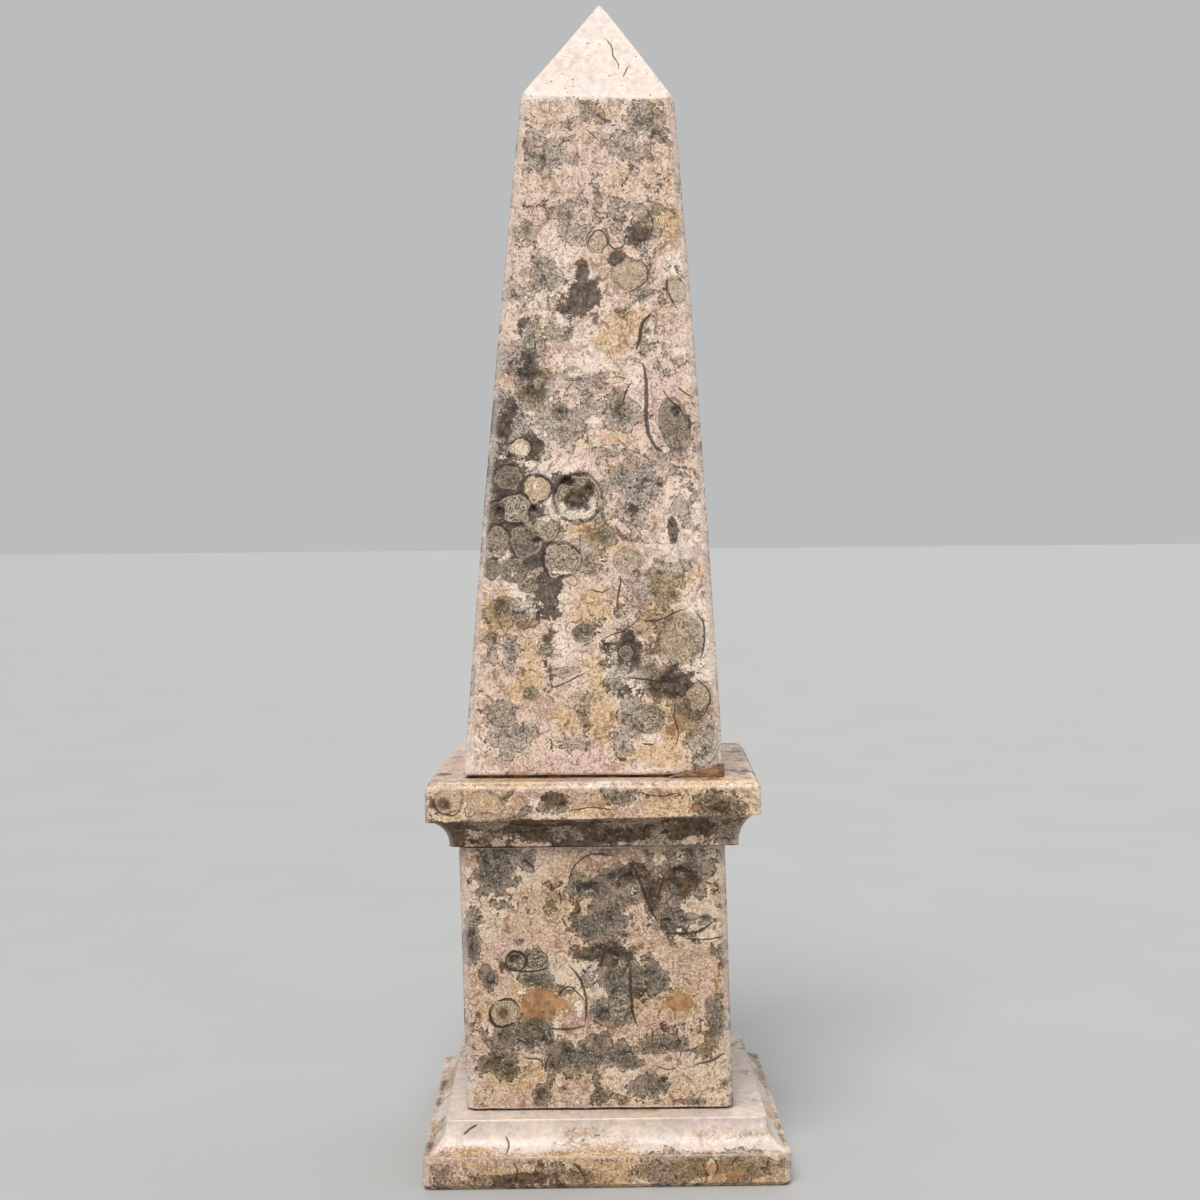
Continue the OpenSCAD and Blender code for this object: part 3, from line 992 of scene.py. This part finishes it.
DIE_PITS = [
    (-15.1, -22.0, 36.2, 1.3, 1.1, 0.5), (-17.2, -22.0, 27.2, 1.3, 1.4, 0.4),
    (1.5, -22.2, 37.0, 2.0, 0.8, 0.4), (-2.4, -22.2, 48.6, 1.8, 1.1, 0.45),
    (4.2, -22.2, 49.9, 1.0, 1.3, 0.5), (12.9, -22.2, 51.0, 1.7, 1.2, 0.5),
    (17.0, -22.2, 43.0, 1.3, 0.7, 0.4), (10.6, -22.2, 42.6, 0.9, 0.7, 0.5),
    (3.4, -22.2, 40.2, 1.1, 0.6, 0.4), (-6.6, -22.3, 20.6, 0.9, 0.8, 0.4),
    (-10.6, -22.3, 22.6, 0.9, 0.6, 0.5), (9.6, -22.3, 15.6, 0.8, 1.0, 0.5),
    (-16.4, -22.3, 18.4, 1.2, 0.6, 0.4), (-21.4, -22.3, 26.8, 0.8, 0.9, 0.3),
    (22.2, 4.0, 41.0, 1.6, 1.2, 0.5), (22.2, -9.0, 24.0, 1.3, 1.0, 0.4),
    (22.2, 12.0, 18.0, 1.1, 0.8, 0.4), (-6.0, 22.2, 45.0, 1.7, 1.0, 0.5),
    (9.0, 22.2, 30.0, 1.2, 1.4, 0.5), (-14.0, 22.2, 19.0, 1.0, 0.8, 0.4),
    (-22.2, 8.0, 47.0, 1.4, 1.1, 0.5), (-22.2, -7.0, 33.0, 1.2, 1.0, 0.4),
    (-22.2, 13.0, 22.0, 1.3, 0.7, 0.4),
]
CAP_PITS = [
    (-26.4, -26.4, 63.2, 1.5, 1.3, 0.3),
]
BASE_PITS = [
    (-23.2, -28.0, 9.0, 1.2, 0.7, 0.5), (-16.5, -29.4, 6.6, 0.6, 1.0, 0.4),
]

# stains by kind: x, z, radius across, radius up, strength
SHAFT_STAINS = {
    "grey": [
        (7.5, 177, 4.5, 4, 0.75), (-10, 177, 2, 3, 0.5), (-3, 178.5, 5, 2.0, 0.45),
        (6, 172, 6, 3, 0.6), (-9.5, 169, 4, 4, 0.52), (1.5, 167.5, 3, 2.5, 0.6),
        (10, 167, 2.5, 3, 0.5), (-4, 162.5, 6, 3, 0.6), (-11, 158, 3, 2.5, 0.55), (-4, 158, 4, 3, 0.7),
        (-14, 148, 3, 3, 0.7), (-9, 151, 3, 3, 0.7), (-7, 146.5, 4, 1.5, 0.5), (-11, 131, 4, 3, 0.8),
        (-6, 128, 6, 4, 0.75), (-2.5, 133.5, 4, 1.8, 0.8), (3, 128, 4, 4, 0.6), (3, 114, 6, 5, 0.75),
        (7, 118, 4, 3, 0.6), (1, 107.5, 3, 2, 0.7), (-15, 95, 4, 2.2, 1), (10, 99, 6, 4, 0.45),
        (-18.5, 88, 1.2, 3, 0.9), (-15.5, 87, 1.2, 3, 0.9), (-6, 84.5, 2.5, 1.2, 0.9),
        (-2.8, 78, 1.2, 3, 0.9), (-17, 78, 2, 3, 0.55), (-18, 72, 3, 3, 0.55), (-6, 72.5, 7, 2.2, 0.6),
        (4.5, 78, 2.5, 3, 0.9), (7, 76.5, 3, 2.5, 0.9), (14, 77, 4, 4, 0.7), (3, 72, 2, 2, 0.7),
        (17, 72, 2.5, 5, 0.8), (13, 90, 4.5, 5, 0.5), (-3, 91, 1.5, 1.5, 0.8),
        (-9.5, 88.5, 1.2, 1.2, 0.8), (-10, 104, 9, 5, 0.7), (-12, 121.5, 4, 3, 0.7),
        (-16, 128, 2.4, 4.5, 1), (-12.5, 137.5, 2.8, 5.5, 1), (-14.5, 126, 2.5, 5, 1),
        (-15, 115, 5, 7, 0.9), (9, 82.5, 6, 3, 0.9), (4, 87, 3, 4, 0.8), (1, 163, 5, 3, 0.52),
        (9, 162.5, 3.5, 2.5, 0.48), (-12, 164.5, 2.5, 2, 0.5), (3.5, 158, 2.5, 2, 0.5),
        (-6.5, 173, 3, 2, 0.5), (-16.8, 122, 2.5, 5, 1), (8, 148, 3, 2, 0.45), (-7, 141, 3, 2, 0.5),
        (13, 112.5, 3, 3.5, 0.5), (-16.5, 138, 1.5, 3, 0.7), (1.5, 121.5, 3, 1.6, 0.55),
        (6, 94.5, 3, 2, 0.55), (-13, 74, 3, 2, 0.6), (7, 158, 3, 3, 0.6),
    ],
    "dark": [
        (-16.8, 120, 2, 3, 0.75), (-17.5, 108, 2, 5, 0.7), (-2.7, 152.5, 1.6, 3.5, 0.9),
        (-3, 148, 2.8, 2.8, 0.95), (7, 157.5, 2, 1.5, 0.38), (3.5, 153.8, 2, 1.5, 0.4),
        (-12.3, 137, 2.2, 5.0, 0.62), (-16.2, 127, 1.8, 4.0, 0.62), (-15, 114, 4.5, 8, 1),
        (-12, 121.5, 3, 2.6, 0.9), (-11.5, 105, 3.5, 3.5, 0.9), (12, 108.3, 0.9, 2.2, 0.9),
        (-9, 97, 2.2, 5.5, 0.9), (4, 87, 2.6, 4, 0.75), (9, 82.5, 5.5, 2.2, 0.75),
        (12.6, 127.5, 1.6, 2.6, 0.7), (-4.5, 116, 3.2, 1.8, 0.7),
    ],
    "ochre": [
        (12, 90, 6, 6, 0.6), (-17, 92, 4, 6, 0.7), (12, 160, 2, 4, 0.5), (2.5, 179, 1.5, 3, 0.6),
        (-12, 88, 4, 8, 0.6), (13, 78, 5, 8, 0.7), (0, 80, 2, 6, 0.7), (10, 70, 5, 2, 0.7),
        (2, 123, 6, 2.5, 0.7), (-3, 108.5, 3, 1.8, 0.6), (-2, 96, 4, 5, 0.5), (3, 138, 3, 3, 0.4),
        (-8, 135, 3, 2, 0.5),
    ],
    "white": [
        (-3.6, 110.9, 2.6, 0.8, 1), (-1.4, 112.6, 0.7, 1.3, 0.9), (-6.3, 112.3, 0.7, 1.1, 0.8),
        (-13.4, 121.8, 1.6, 1.2, 0.9), (-8.8, 110.2, 2.0, 0.7, 0.8), (2.6, 133.4, 1.4, 0.5, 1),
        (8.6, 141.8, 0.6, 1.7, 1), (-4.4, 134.6, 1.3, 0.6, 0.8), (-16.6, 120.6, 1.2, 0.6, 0.7),
        (-11.4, 119.4, 1.3, 0.7, 0.7), (-6.8, 101.2, 2.4, 0.5, 0.7), (0.2, 159.3, 1.3, 0.6, 0.7),
        (11, 121.5, 0.7, 0.6, 0.9), (-0.5, 123, 0.8, 0.7, 0.9), (-10.9, 115.9, 0.5, 0.8, 0.8),
        (-15, 101, 1.2, 0.5, 0.7), (12.8, 122.8, 1.2, 0.6, 0.5), (3, 170, 0.8, 2.2, 0.6),
    ],
}
DIE_STAINS = {
    "grey": [
        (-19, 52.5, 3.5, 3.5, 1), (-13, 53, 1.5, 1.5, 0.9), (-2, 48, 3, 2.2, 1), (3, 50.5, 3.5, 2, 1),
        (8, 48, 1.8, 5, 1), (14, 50.5, 4.5, 4.5, 1), (12, 42.5, 4.5, 2, 1), (17, 42.5, 1.8, 1.2, 1),
        (-22.5, 40, 1.8, 3, 1), (-1, 42.5, 4.5, 3.2, 1), (-19, 32.5, 1.5, 2.4, 1),
        (-12, 33, 2.5, 1.5, 0.9), (1.5, 32.5, 5, 2.6, 1), (8, 33, 2, 2.5, 0.9),
        (19.5, 38, 1.8, 1.6, 0.9), (0, 27.5, 3, 2.5, 1), (3.3, 28, 1.5, 3.4, 0.9),
        (-12, 23.4, 5, 2.6, 1), (18.5, 26, 1.8, 4.5, 1), (17.5, 20.5, 2.5, 1.4, 0.9),
        (-4, 19.5, 6, 3.8, 1), (3.5, 19.5, 3, 3, 1), (8, 21.5, 4, 1.6, 1), (-17, 18, 3, 2.5, 0.9),
        (7.5, 14.5, 3.4, 2.4, 1), (-1, 13.2, 1.5, 1.2, 1), (-11, 13.5, 1.5, 2, 1), (14, 11.8, 3, 1, 1),
        (-11.5, 36.2, 2, 1.6, 1), (5, 46, 2, 1, 0.6), (-16, 45.5, 3, 1, 0.45),
    ],
    "dark": [
        (1, 37, 3.5, 1.8, 0.9), (14.5, 51, 4, 3.5, 0.62), (12, 42.5, 3.5, 1.4, 0.6),
        (4, 51, 2.4, 1.6, 0.62), (-14.8, 36, 1.4, 1.2, 0.6), (-2, 48.5, 1.6, 1.4, 0.55),
        (8.2, 46, 1.2, 3, 0.6), (-9.5, 22.5, 1.2, 1, 0.8),
    ],
    "ochre": [
        (-10.4, 28.9, 4.2, 2.9, 1.9), (12.6, 28.6, 2.6, 1.7, 1.6), (-21.2, 27.2, 1.0, 1.0, 1.5),
        (-21, 27, 2, 2, 0.8), (6.5, 29.4, 2, 0.7, 0.8), (-17, 17, 5, 3, 0.6), (17, 22, 2, 3, 0.6),
        (-3, 22, 3, 1.4, 0.5), (12, 16, 6, 2, 0.5),
    ],
    "white": [
        (-8.3, 24.3, 0.35, 1.7, 1.2), (-13.8, 30.8, 1.4, 0.5, 0.7), (2, 41, 1.4, 0.5, 0.6),
        (-4.5, 28.3, 0.9, 1.8, 0.7), (5, 44.6, 1.2, 0.8, 0.6), (12.5, 41.0, 0.5, 0.4, 0.9),
    ],
}
CAP_STAINS = {
    "grey": [
        (-8.5, 63.5, 2.4, 2.2, 1), (3, 64.5, 3.2, 1.3, 0.9), (19, 63, 5, 2.4, 1),
        # from (-14, 58.5) on, these grey stains lie on the underside cove: partly grey stone, partly
        # painted shade under the cap's overhang
        (-13, 62.2, 1.8, 1.0, 0.7), (-14, 58.5, 8, 1.8, 0.8), (3, 58.6, 6, 1.6, 0.9),
        (15, 59.2, 6, 1.6, 0.8),
    ],
    "dark": [
        # the last two dark stains lie on the underside cove: partly dark stone, partly painted shade
        # under the cap's overhang
        (19.5, 62.6, 3, 1.2, 0.6), (-8.2, 64.5, 1.6, 1.4, 0.42), (-12, 58.6, 6, 1.2, 0.6),
        (14, 58.9, 4, 1.0, 0.6),
    ],
    "ochre": [
        (-19.5, 63.5, 3.5, 2.6, 0.5), (8, 63.5, 8, 3, 0.4), (-24, 63, 3, 3, 0.6),
    ],
    "white": [
        (-22.6, 64.5, 1.6, 1.2, 0.5),
    ],
}
BASE_STAINS = {
    "ochre": [
        (-20, 3, 8, 2.5, 0.35), (2, 3, 9, 2.5, 0.35), (16, 3.2, 5, 2.5, 0.35), (-24, 8, 6, 2.5, 0.45),
        (4, 10, 8, 1.2, 0.4),
    ],
    "grey": [
        (10, 3, 4.5, 2, 0.8), (-8, 2.5, 5, 1.8, 0.7), (23, 3, 4, 1.8, 0.8), (-27, 2.5, 2.5, 2, 0.6),
    ],
    "dark": [
        (-14, 2.4, 4, 1.2, 0.5),
    ],
}

# shells: x, z, radius across, radius up, tilt, how dark, how creamy, how strong the rim
SHAFT_SHELLS = [
    (-10.5, 115.3, 2.3, 2.3, 0, 0, 1, 1), (-17.3, 111.3, 1.9, 2.0, 0, 0.9, 0, 0.9),
    (-14.4, 111.8, 2.6, 2.6, 0, 0, 0, 0.9), (-15.5, 117.2, 2.3, 2.1, 0, 0.6, 0, 0.7),
    (-13.5, 122, 1.9, 1.7, 30, 0, 1, 1), (-3.8, 113.6, 4.0, 3.9, 0, 0.25, 0.2, 1),
    (-9.2, 108.6, 2.3, 2.0, 20, 0, 0.1, 0.9), (-12.7, 106.6, 2.6, 2.8, 0, 0.6, 0, 0.7),
    (-17.3, 106.8, 2.0, 2.2, 0, 0.3, 0, 0.8), (-6.7, 103.2, 3.2, 2.8, 10, 0, 0.1, 0.95),
    (-14.6, 101.6, 2.2, 2.0, 0, 0.5, 0, 0.8), (-18.4, 101.8, 1.4, 1.8, 0, 0.6, 0, 0.7),
    (4.5, 103, 2.3, 1.9, 0, 0, 0.3, 0.6), (-6.8, 128.2, 1.3, 1.4, 0, 0.6, 0, 0.9),
    (0, 157.2, 1.8, 2.1, 0, 0, 0.6, 0.9), (5.5, 151.2, 3.2, 2.6, -15, 0, 0.5, 0.5),
    (13, 148.5, 1.7, 2.2, 20, 0, 0.4, 0.6), (8.3, 142, 1.1, 2.7, -22, 0, 0.35, 1),
    (12.6, 125.8, 2.4, 4.4, 12, 0.5, 0.1, 0.7), (13.3, 90, 3.6, 3.9, 0, 0, 0.25, 0.5),
    (16.3, 80.4, 2.0, 2.4, 0, 0, 0.3, 0.6), (7.5, 76.5, 2.6, 2.3, 0, 0, 0, 0.6),
    (4.1, 87.6, 1.2, 1.2, 0, 0.5, 0, 0.9), (-3, 91, 1.6, 1.4, 0, 0.3, 0, 0.6),
    (-9.3, 88.3, 1.1, 1.0, 0, 0.4, 0, 0.6), (-12, 81, 1.3, 1.1, 0, 0.2, 0, 0.5),
    (-17, 77.5, 2.2, 2.2, 0, 0, 0.2, 0.5), (-4.5, 134.5, 1.6, 1.2, 10, 0, 0.2, 0.6),
    (2.6, 133.4, 1.6, 0.55, 8, 0, 1, 0.9), (-12.3, 99, 1.6, 1.3, 0, 0.3, 0, 0.6),
]
DIE_SHELLS = [
    (-15, 36, 1.8, 1.6, 0, 0.35, 0, 1), (-11.5, 36.3, 1.6, 1.3, 0, 0.1, 0, 0.8),
    (-17, 27.2, 2.5, 2.2, 25, 0, 0.5, 1), (0.2, 54.2, 1.0, 0.7, 0, 0.2, 0, 0.5),
    (2.3, 28.3, 1.6, 2.4, 0, 0, 0, 0.5),
]
CAP_SHELLS = [
    (-25.7, 63.8, 2.5, 2.0, 25, 0, 1, 0.55), (-19.4, 63.6, 2.9, 1.9, -10, 0, 1, 0.5),
]
BASE_SHELLS = [
    (27.5, 2.9, 0.9, 0.7, 5, 0, 0.5, 0.3), (-30, 3, 1.2, 0.8, 0, 0, 0.5, 0.3),
]

# drawn lines: half width, then x and z of each knot
SHAFT_LINES = [
    (0.34, [(6.5, 136.5), (7.6, 135.5), (7.9, 131), (7.8, 127), (8.3, 124), (9.5, 122), (11, 121)]),
    (0.28, [(9, 144.5), (7.4, 143), (6.9, 140.5), (6.2, 138.2)]),
    (0.14, [(3.8, 129), (4.5, 131.5), (5.5, 133)]),
    (0.16, [
        (-1.8, 155.5), (-1.5, 157.2), (0, 158.8), (1.3, 158), (1.8, 156.5), (3, 155.6), (4.4, 156.2),
        (5, 158.5),
    ]),
    (0.12, [(4, 147.8), (6, 148.6), (8, 150), (8.3, 152), (7, 154)]),
    (0.13, [(11.6, 151), (11.7, 148.5), (12.5, 146.5), (13.5, 145)]),
    (0.12, [(8.5, 162), (9.3, 160), (9, 158)]), (0.12, [(-2, 176.2), (0.6, 173.8)]),
    (0.12, [(-2, 98.3), (0, 97.8), (1.5, 98.5)]), (0.16, [(3.4, 100), (2.8, 97), (2.5, 94.5)]),
    (0.12, [(3.5, 97.5), (4.8, 96)]), (0.14, [(7.5, 93), (10, 93.2), (12, 94.2), (14.5, 95)]),
    (0.14, [(0, 89.8), (2, 90.8), (4, 91.5), (6, 93)]),
    (0.16, [(15.5, 94.5), (17, 92.5), (17, 88.5), (16.3, 86)]),
    (0.2, [(3.5, 83.5), (7, 83.2), (10, 82.8), (14.5, 84)]),
    (0.15, [(15.5, 83.5), (17.5, 81.5), (18, 79.5), (16.8, 77)]),
    (0.12, [(12.2, 79.5), (12, 77), (12.6, 74.5), (12.2, 72)]),
    (0.14, [(-8.3, 83.5), (-8.3, 82), (-5.5, 83), (-2.5, 84.5)]), (0.18, [(6.6, 72.4), (8.6, 72.2)]),
    (0.12, [(10.4, 132), (11.8, 130), (13.5, 128.5), (14.8, 126)]),
    (0.12, [(13, 132.3), (14.6, 131), (16.2, 130.2)]),
    (0.12, [(1.6, 193.5), (2.8, 191.5), (3.0, 189.5), (3.8, 188.2), (4.0, 186.8)]),
    (0.12, [(5.8, 187.6), (5.0, 186.4), (4.5, 185.2)]),
]
DIE_LINES = [
    (0.14, [(-6, 49.5), (-5, 52), (-2, 54), (2, 53.6)]),
    (0.3, [(5, 52), (6.5, 48), (7.8, 44.5), (9, 42.3)]), (0.16, [(9, 46.5), (9.6, 49)]),
    (0.26, [(10, 40.6), (13, 40.4), (16, 40.9), (18.5, 42.5)]),
    (0.13, [(13, 39.7), (17, 39.4), (20.6, 40)]),
    (0.24, [(4.2, 35), (4.3, 31), (4.7, 27), (5.5, 24.5)]),
    (0.24, [(-6, 35.3), (-4, 32.5), (-3.2, 29), (-3.4, 25.2)]),
    (0.16, [(-14, 19.6), (-11, 19.2), (-10.7, 17.5)]), (0.22, [(15, 18.2), (18, 19), (20, 20.2)]),
    (0.18, [(-16.8, 35.2), (-14, 34.3), (-11, 34.4), (-9.3, 35.3)]),
    (0.14, [(-7.6, 47.8), (-7.0, 45.8)]), (0.12, [(-7.0, 47.8), (-7.4, 45.4)]),
    (0.16, [(-7.2, 43.4), (-6.4, 41.8)]), (0.16, [(-13.2, 53.2), (-11.6, 51.4)]),
    (0.12, [(8.5, 18), (10.5, 17.4), (12, 17.8)]), (0.14, [(-9.7, 19.8), (-10.3, 17)]),
    (0.12, [(20.6, 17.8), (21, 16.4)]),
    (0.2, [(-19.4, 27.9), (-19.2, 25.8), (-17.6, 24.9), (-15.8, 25.4)]),
    (0.2, [(-18, 29.4), (-16, 29.6), (-14.6, 28.4)]),
    (0.22, [(-16.8, 36.4), (-15.6, 37.6), (-13.8, 37.3), (-13.2, 36)]),
    (0.14, [(-3.2, 29), (-6, 31.6), (-8.4, 29.6)]), (0.2, [(-9.6, 24.6), (-6.4, 24.4), (-3.5, 25)]),
    (0.2, [(-1, 34.8), (0.6, 37.8), (3.6, 38.2)]),
]
CAP_LINES = [
    (0.14, [(-28.2, 63.6), (-27, 61.9), (-24.8, 61.5), (-23.4, 62.4)]),
    (0.12, [(-6, 62), (-2, 62.6), (2, 62.2)]), (0.12, [(5, 65.2), (9, 64.4), (13, 65)]),
    (0.14, [(-16, 59.8), (-10, 59.2), (-4, 59.6)]),
]
BASE_LINES = [
    (0.18, [(-23.8, 8.2), (-22.6, 9.2), (-21.4, 9.8)]),
    (0.16, [(-16.6, 5.6), (-16.2, 6.8), (-16.8, 8)]), (0.12, [(-6, 4.6), (-4.4, 3.2), (-3.6, 1.4)]),
    (0.12, [(17.6, 4.9), (18.2, 3.2), (17.4, 1.6)]), (0.14, [(-15.6, 4.8), (-14.8, 3), (-15.4, 1.2)]),
]


# ---- Putting it together ----
STONES = (
    ("base_plinth", base_stone, base_front, BASE_STAINS, BASE_SHELLS, BASE_LINES, 5, (34, 8)),
    ("die", die_stone, die_front, DIE_STAINS, DIE_SHELLS, DIE_LINES, 6, (84, 26)),
    ("cap", cap_stone, cap_front, CAP_STAINS, CAP_SHELLS, CAP_LINES, 7, (36, 10)),
    ("shaft", shaft_stone, shaft_front, SHAFT_STAINS, SHAFT_SHELLS, SHAFT_LINES, 8, (170, 64)),
)
# shares of grey, dark, ochre and pale, below and above a level; the change at the level also paints
# light and shade: paler upward faces on the base's cove and the shaft's point, a greyer, darker
# underside cove on the cap
BEDDING = {
    "base_plinth": dict(
        seed=500, stretch=(0.45, 0.8, 1.6), crowd=-0.35, rose=0.1,
        # above its upright face the base turns paler on its ledge and cove: partly the stone's cream,
        # partly painted light on these upward faces
        below=(0.20, 0.10, 0.34, -0.3), above=(-0.15, -0.1, 0.13, 0.86), level=(5.1, 6.0),
    ),
    "die": dict(seed=600, rose=-0.25, below=(0, 0, 0, 0)),
    "cap": dict(
        seed=700, stretch=(0.6, 0.8, 1.4), crowd=-0.1,
        # below the level, on the underside cove, the cap turns greyer, darker and less pale: partly grey
        # stone, partly painted shade under its overhang
        below=(0.60, 0.44, -0.1, -0.4), above=(-0.04, 0, 0.14, 0.05), level=(60.2, 61.0),
    ),
    "shaft": dict(
        seed=800, rose=-0.08,
        # above the shoulder the point turns pale, with fewer grey and dark patches: painted light on its
        # upward faces
        below=(0.02, 0, 0.04, 0), above=(-0.45, -0.3, 0.02, 1.1), level=(180.6, 181.8),
    ),
}
# how far behind its foot's front plane a stone's drawn lines may lie: the shaft leans back a lot
FRONT_DEPTH = {"shaft": 22.0}
STONE_FINISH = {
    "base_plinth": dict(
        shift=(210, 0, 40), spar_tone=paint(138, 117, 93), spar_cover=0.58, tone=0.89, soft=0.05,
    ),
    "die": dict(
        shift=(0, 90, 0), spar_tone=paint(103, 93, 80), tone=0.81, soft=0.018, faint=0.58,
        bed_tones=(paint(207, 173, 146), paint(221, 195, 168), paint(201, 167, 149)),
    ),
    "cap": dict(shift=(120, 30, 70), spar_tone=paint(132, 117, 98), spar_cover=0.80, soft=0.025),
    "shaft": dict(
        shift=(40, 60, 10), spar_tone=paint(146, 134, 121), spar_cover=0.88, soft=0.04, faint=0.40,
        murk_tone=paint(98, 76, 56),
        bed_tones=(paint(209, 181, 162), paint(224, 203, 187), paint(203, 173, 162)),
    ),
}

for node, cut, front, stains, shells, lines, seed, (stain_count, shell_count) in STONES:
    stone, (wear, inside) = cut()
    low, high = level(node, False), level(node, True)
    more_stains, more_shells = elsewhere(
        seed, low, high, lambda z, front=front: abs(front(0, z)), stain_count, shell_count
    )
    mark_stains(stone, on_front(stains, front) + more_stains, inside, wear, BEDDING[node])
    mark_shells(stone, shells_on_front(shells, front) + more_shells)
    mark_lines(stone, lines, front(0, low) + FRONT_DEPTH.get(node, 4.0))
    stone.data.materials.append(limestone(node + "_limestone", **STONE_FINISH[node]))
    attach(stone, "root")
    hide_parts(node)

glue = set_glue("set_adhesive")
BEDS = (
    ("base_joint", DIE_FOOT_W, DIE_CORNER, DIE_AT, DIE_TURN, 0.0, 301, 0.22),
    ("cap_joint", DIE_TOP_W, DIE_CORNER, DIE_AT, DIE_TURN, DIE_LEAN, 302, 0.22),
    ("shaft_joint", SHAFT_FOOT_W, SHAFT_CORNER, SHAFT_AT, SHAFT_TURN, 0.0, 303, 0.40),
)
for node, width, corner, at, turn, shift, seed, spread in BEDS:
    bed = glue_bed(node, node + "_adhesive", width, corner, at, turn, shift, seed, spread)
    bed.data.materials.append(glue)
    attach(bed, "root")
    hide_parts(node)

filling = resin_filling()
filling.data.materials.append(amber_resin("amber_filling"))
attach(filling, "root")
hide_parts("corner_fill")


# ---- Table, light and camera ----
def table_top():
    half = 6000.0
    points = np.array([(-half, -half, 0), (half, -half, 0), (half, half, 0), (-half, half, 0)], float)
    piece = make_mesh("table_top", points, [(0, 1, 2, 3)])
    piece.data.materials.append(pale_table("pale_table"))


def soft_light(name, place, aim, size, power):
    lamp = bpy.data.lights.new(name, "AREA")
    lamp.shape, lamp.size, lamp.size_y = "RECTANGLE", *size
    lamp.energy = power
    holder = bring_in(name, lamp)
    holder.location = place
    way = Vector(aim) - Vector(place)
    holder.rotation_euler = way.to_track_quat("-Z", "Y").to_euler()


def soft_sun(name, height, side, spread, strength, colour=(1, 1, 1)):
    """An even light; height above the table, side right of the front and spread in degrees."""
    lamp = bpy.data.lights.new(name, "SUN")
    lamp.energy, lamp.angle, lamp.color = strength, math.radians(spread), colour
    up, round_by = math.radians(height), math.radians(side)
    east, north = math.cos(up) * math.sin(round_by), -math.cos(up) * math.cos(round_by)
    way = Vector((east, north, math.sin(up)))
    bring_in(name, lamp).rotation_euler = way.to_track_quat("Z", "Y").to_euler()


def camera_at(place, turn, nod, roll, lens):
    """Camera in metres and radians: turned to the right, nodded up, leaned anticlockwise."""
    level_way = math.cos(nod)
    ahead = Vector((math.sin(turn) * level_way, math.cos(turn) * level_way, math.sin(nod)))
    right = ahead.cross(Vector((0, 0, 1))).normalized()
    above = right.cross(ahead)
    right, above = (
        right * math.cos(roll) + above * math.sin(roll),
        above * math.cos(roll) - right * math.sin(roll),
    )
    data = bpy.data.cameras.new("front_view")
    data.sensor_width, data.lens = 36.0, lens
    data.clip_start = 0.01
    camera = bring_in("front_view", data)
    facing = Matrix((right, above, -ahead)).transposed().to_4x4()
    camera.matrix_world = Matrix.Translation(place) @ facing
    bpy.context.scene.camera = camera


table_top()
soft_sun("overhead_sun", 55, -14, 30, 2.95)
soft_sun("sky_behind", 50, 160, 60, 0.5, (0.88, 0.94, 1.0))
soft_light("front_fill", (0.25, -0.95, 0.35), (0, 0, 0.1), (0.7, 0.6), 1.0)
surroundings = bpy.data.worlds.new("pale_room")
surroundings.use_nodes = True
air = surroundings.node_tree.nodes["Background"].inputs
air["Color"].default_value, air["Strength"].default_value = (0.86, 0.87, 0.88, 1), 0.58
bpy.context.scene.world = surroundings
bpy.context.scene.view_settings.view_transform = "Standard"
camera_at((-0.00444, -0.34826, 0.11075), 0.0128, -0.0433, -0.0090, 58.8)
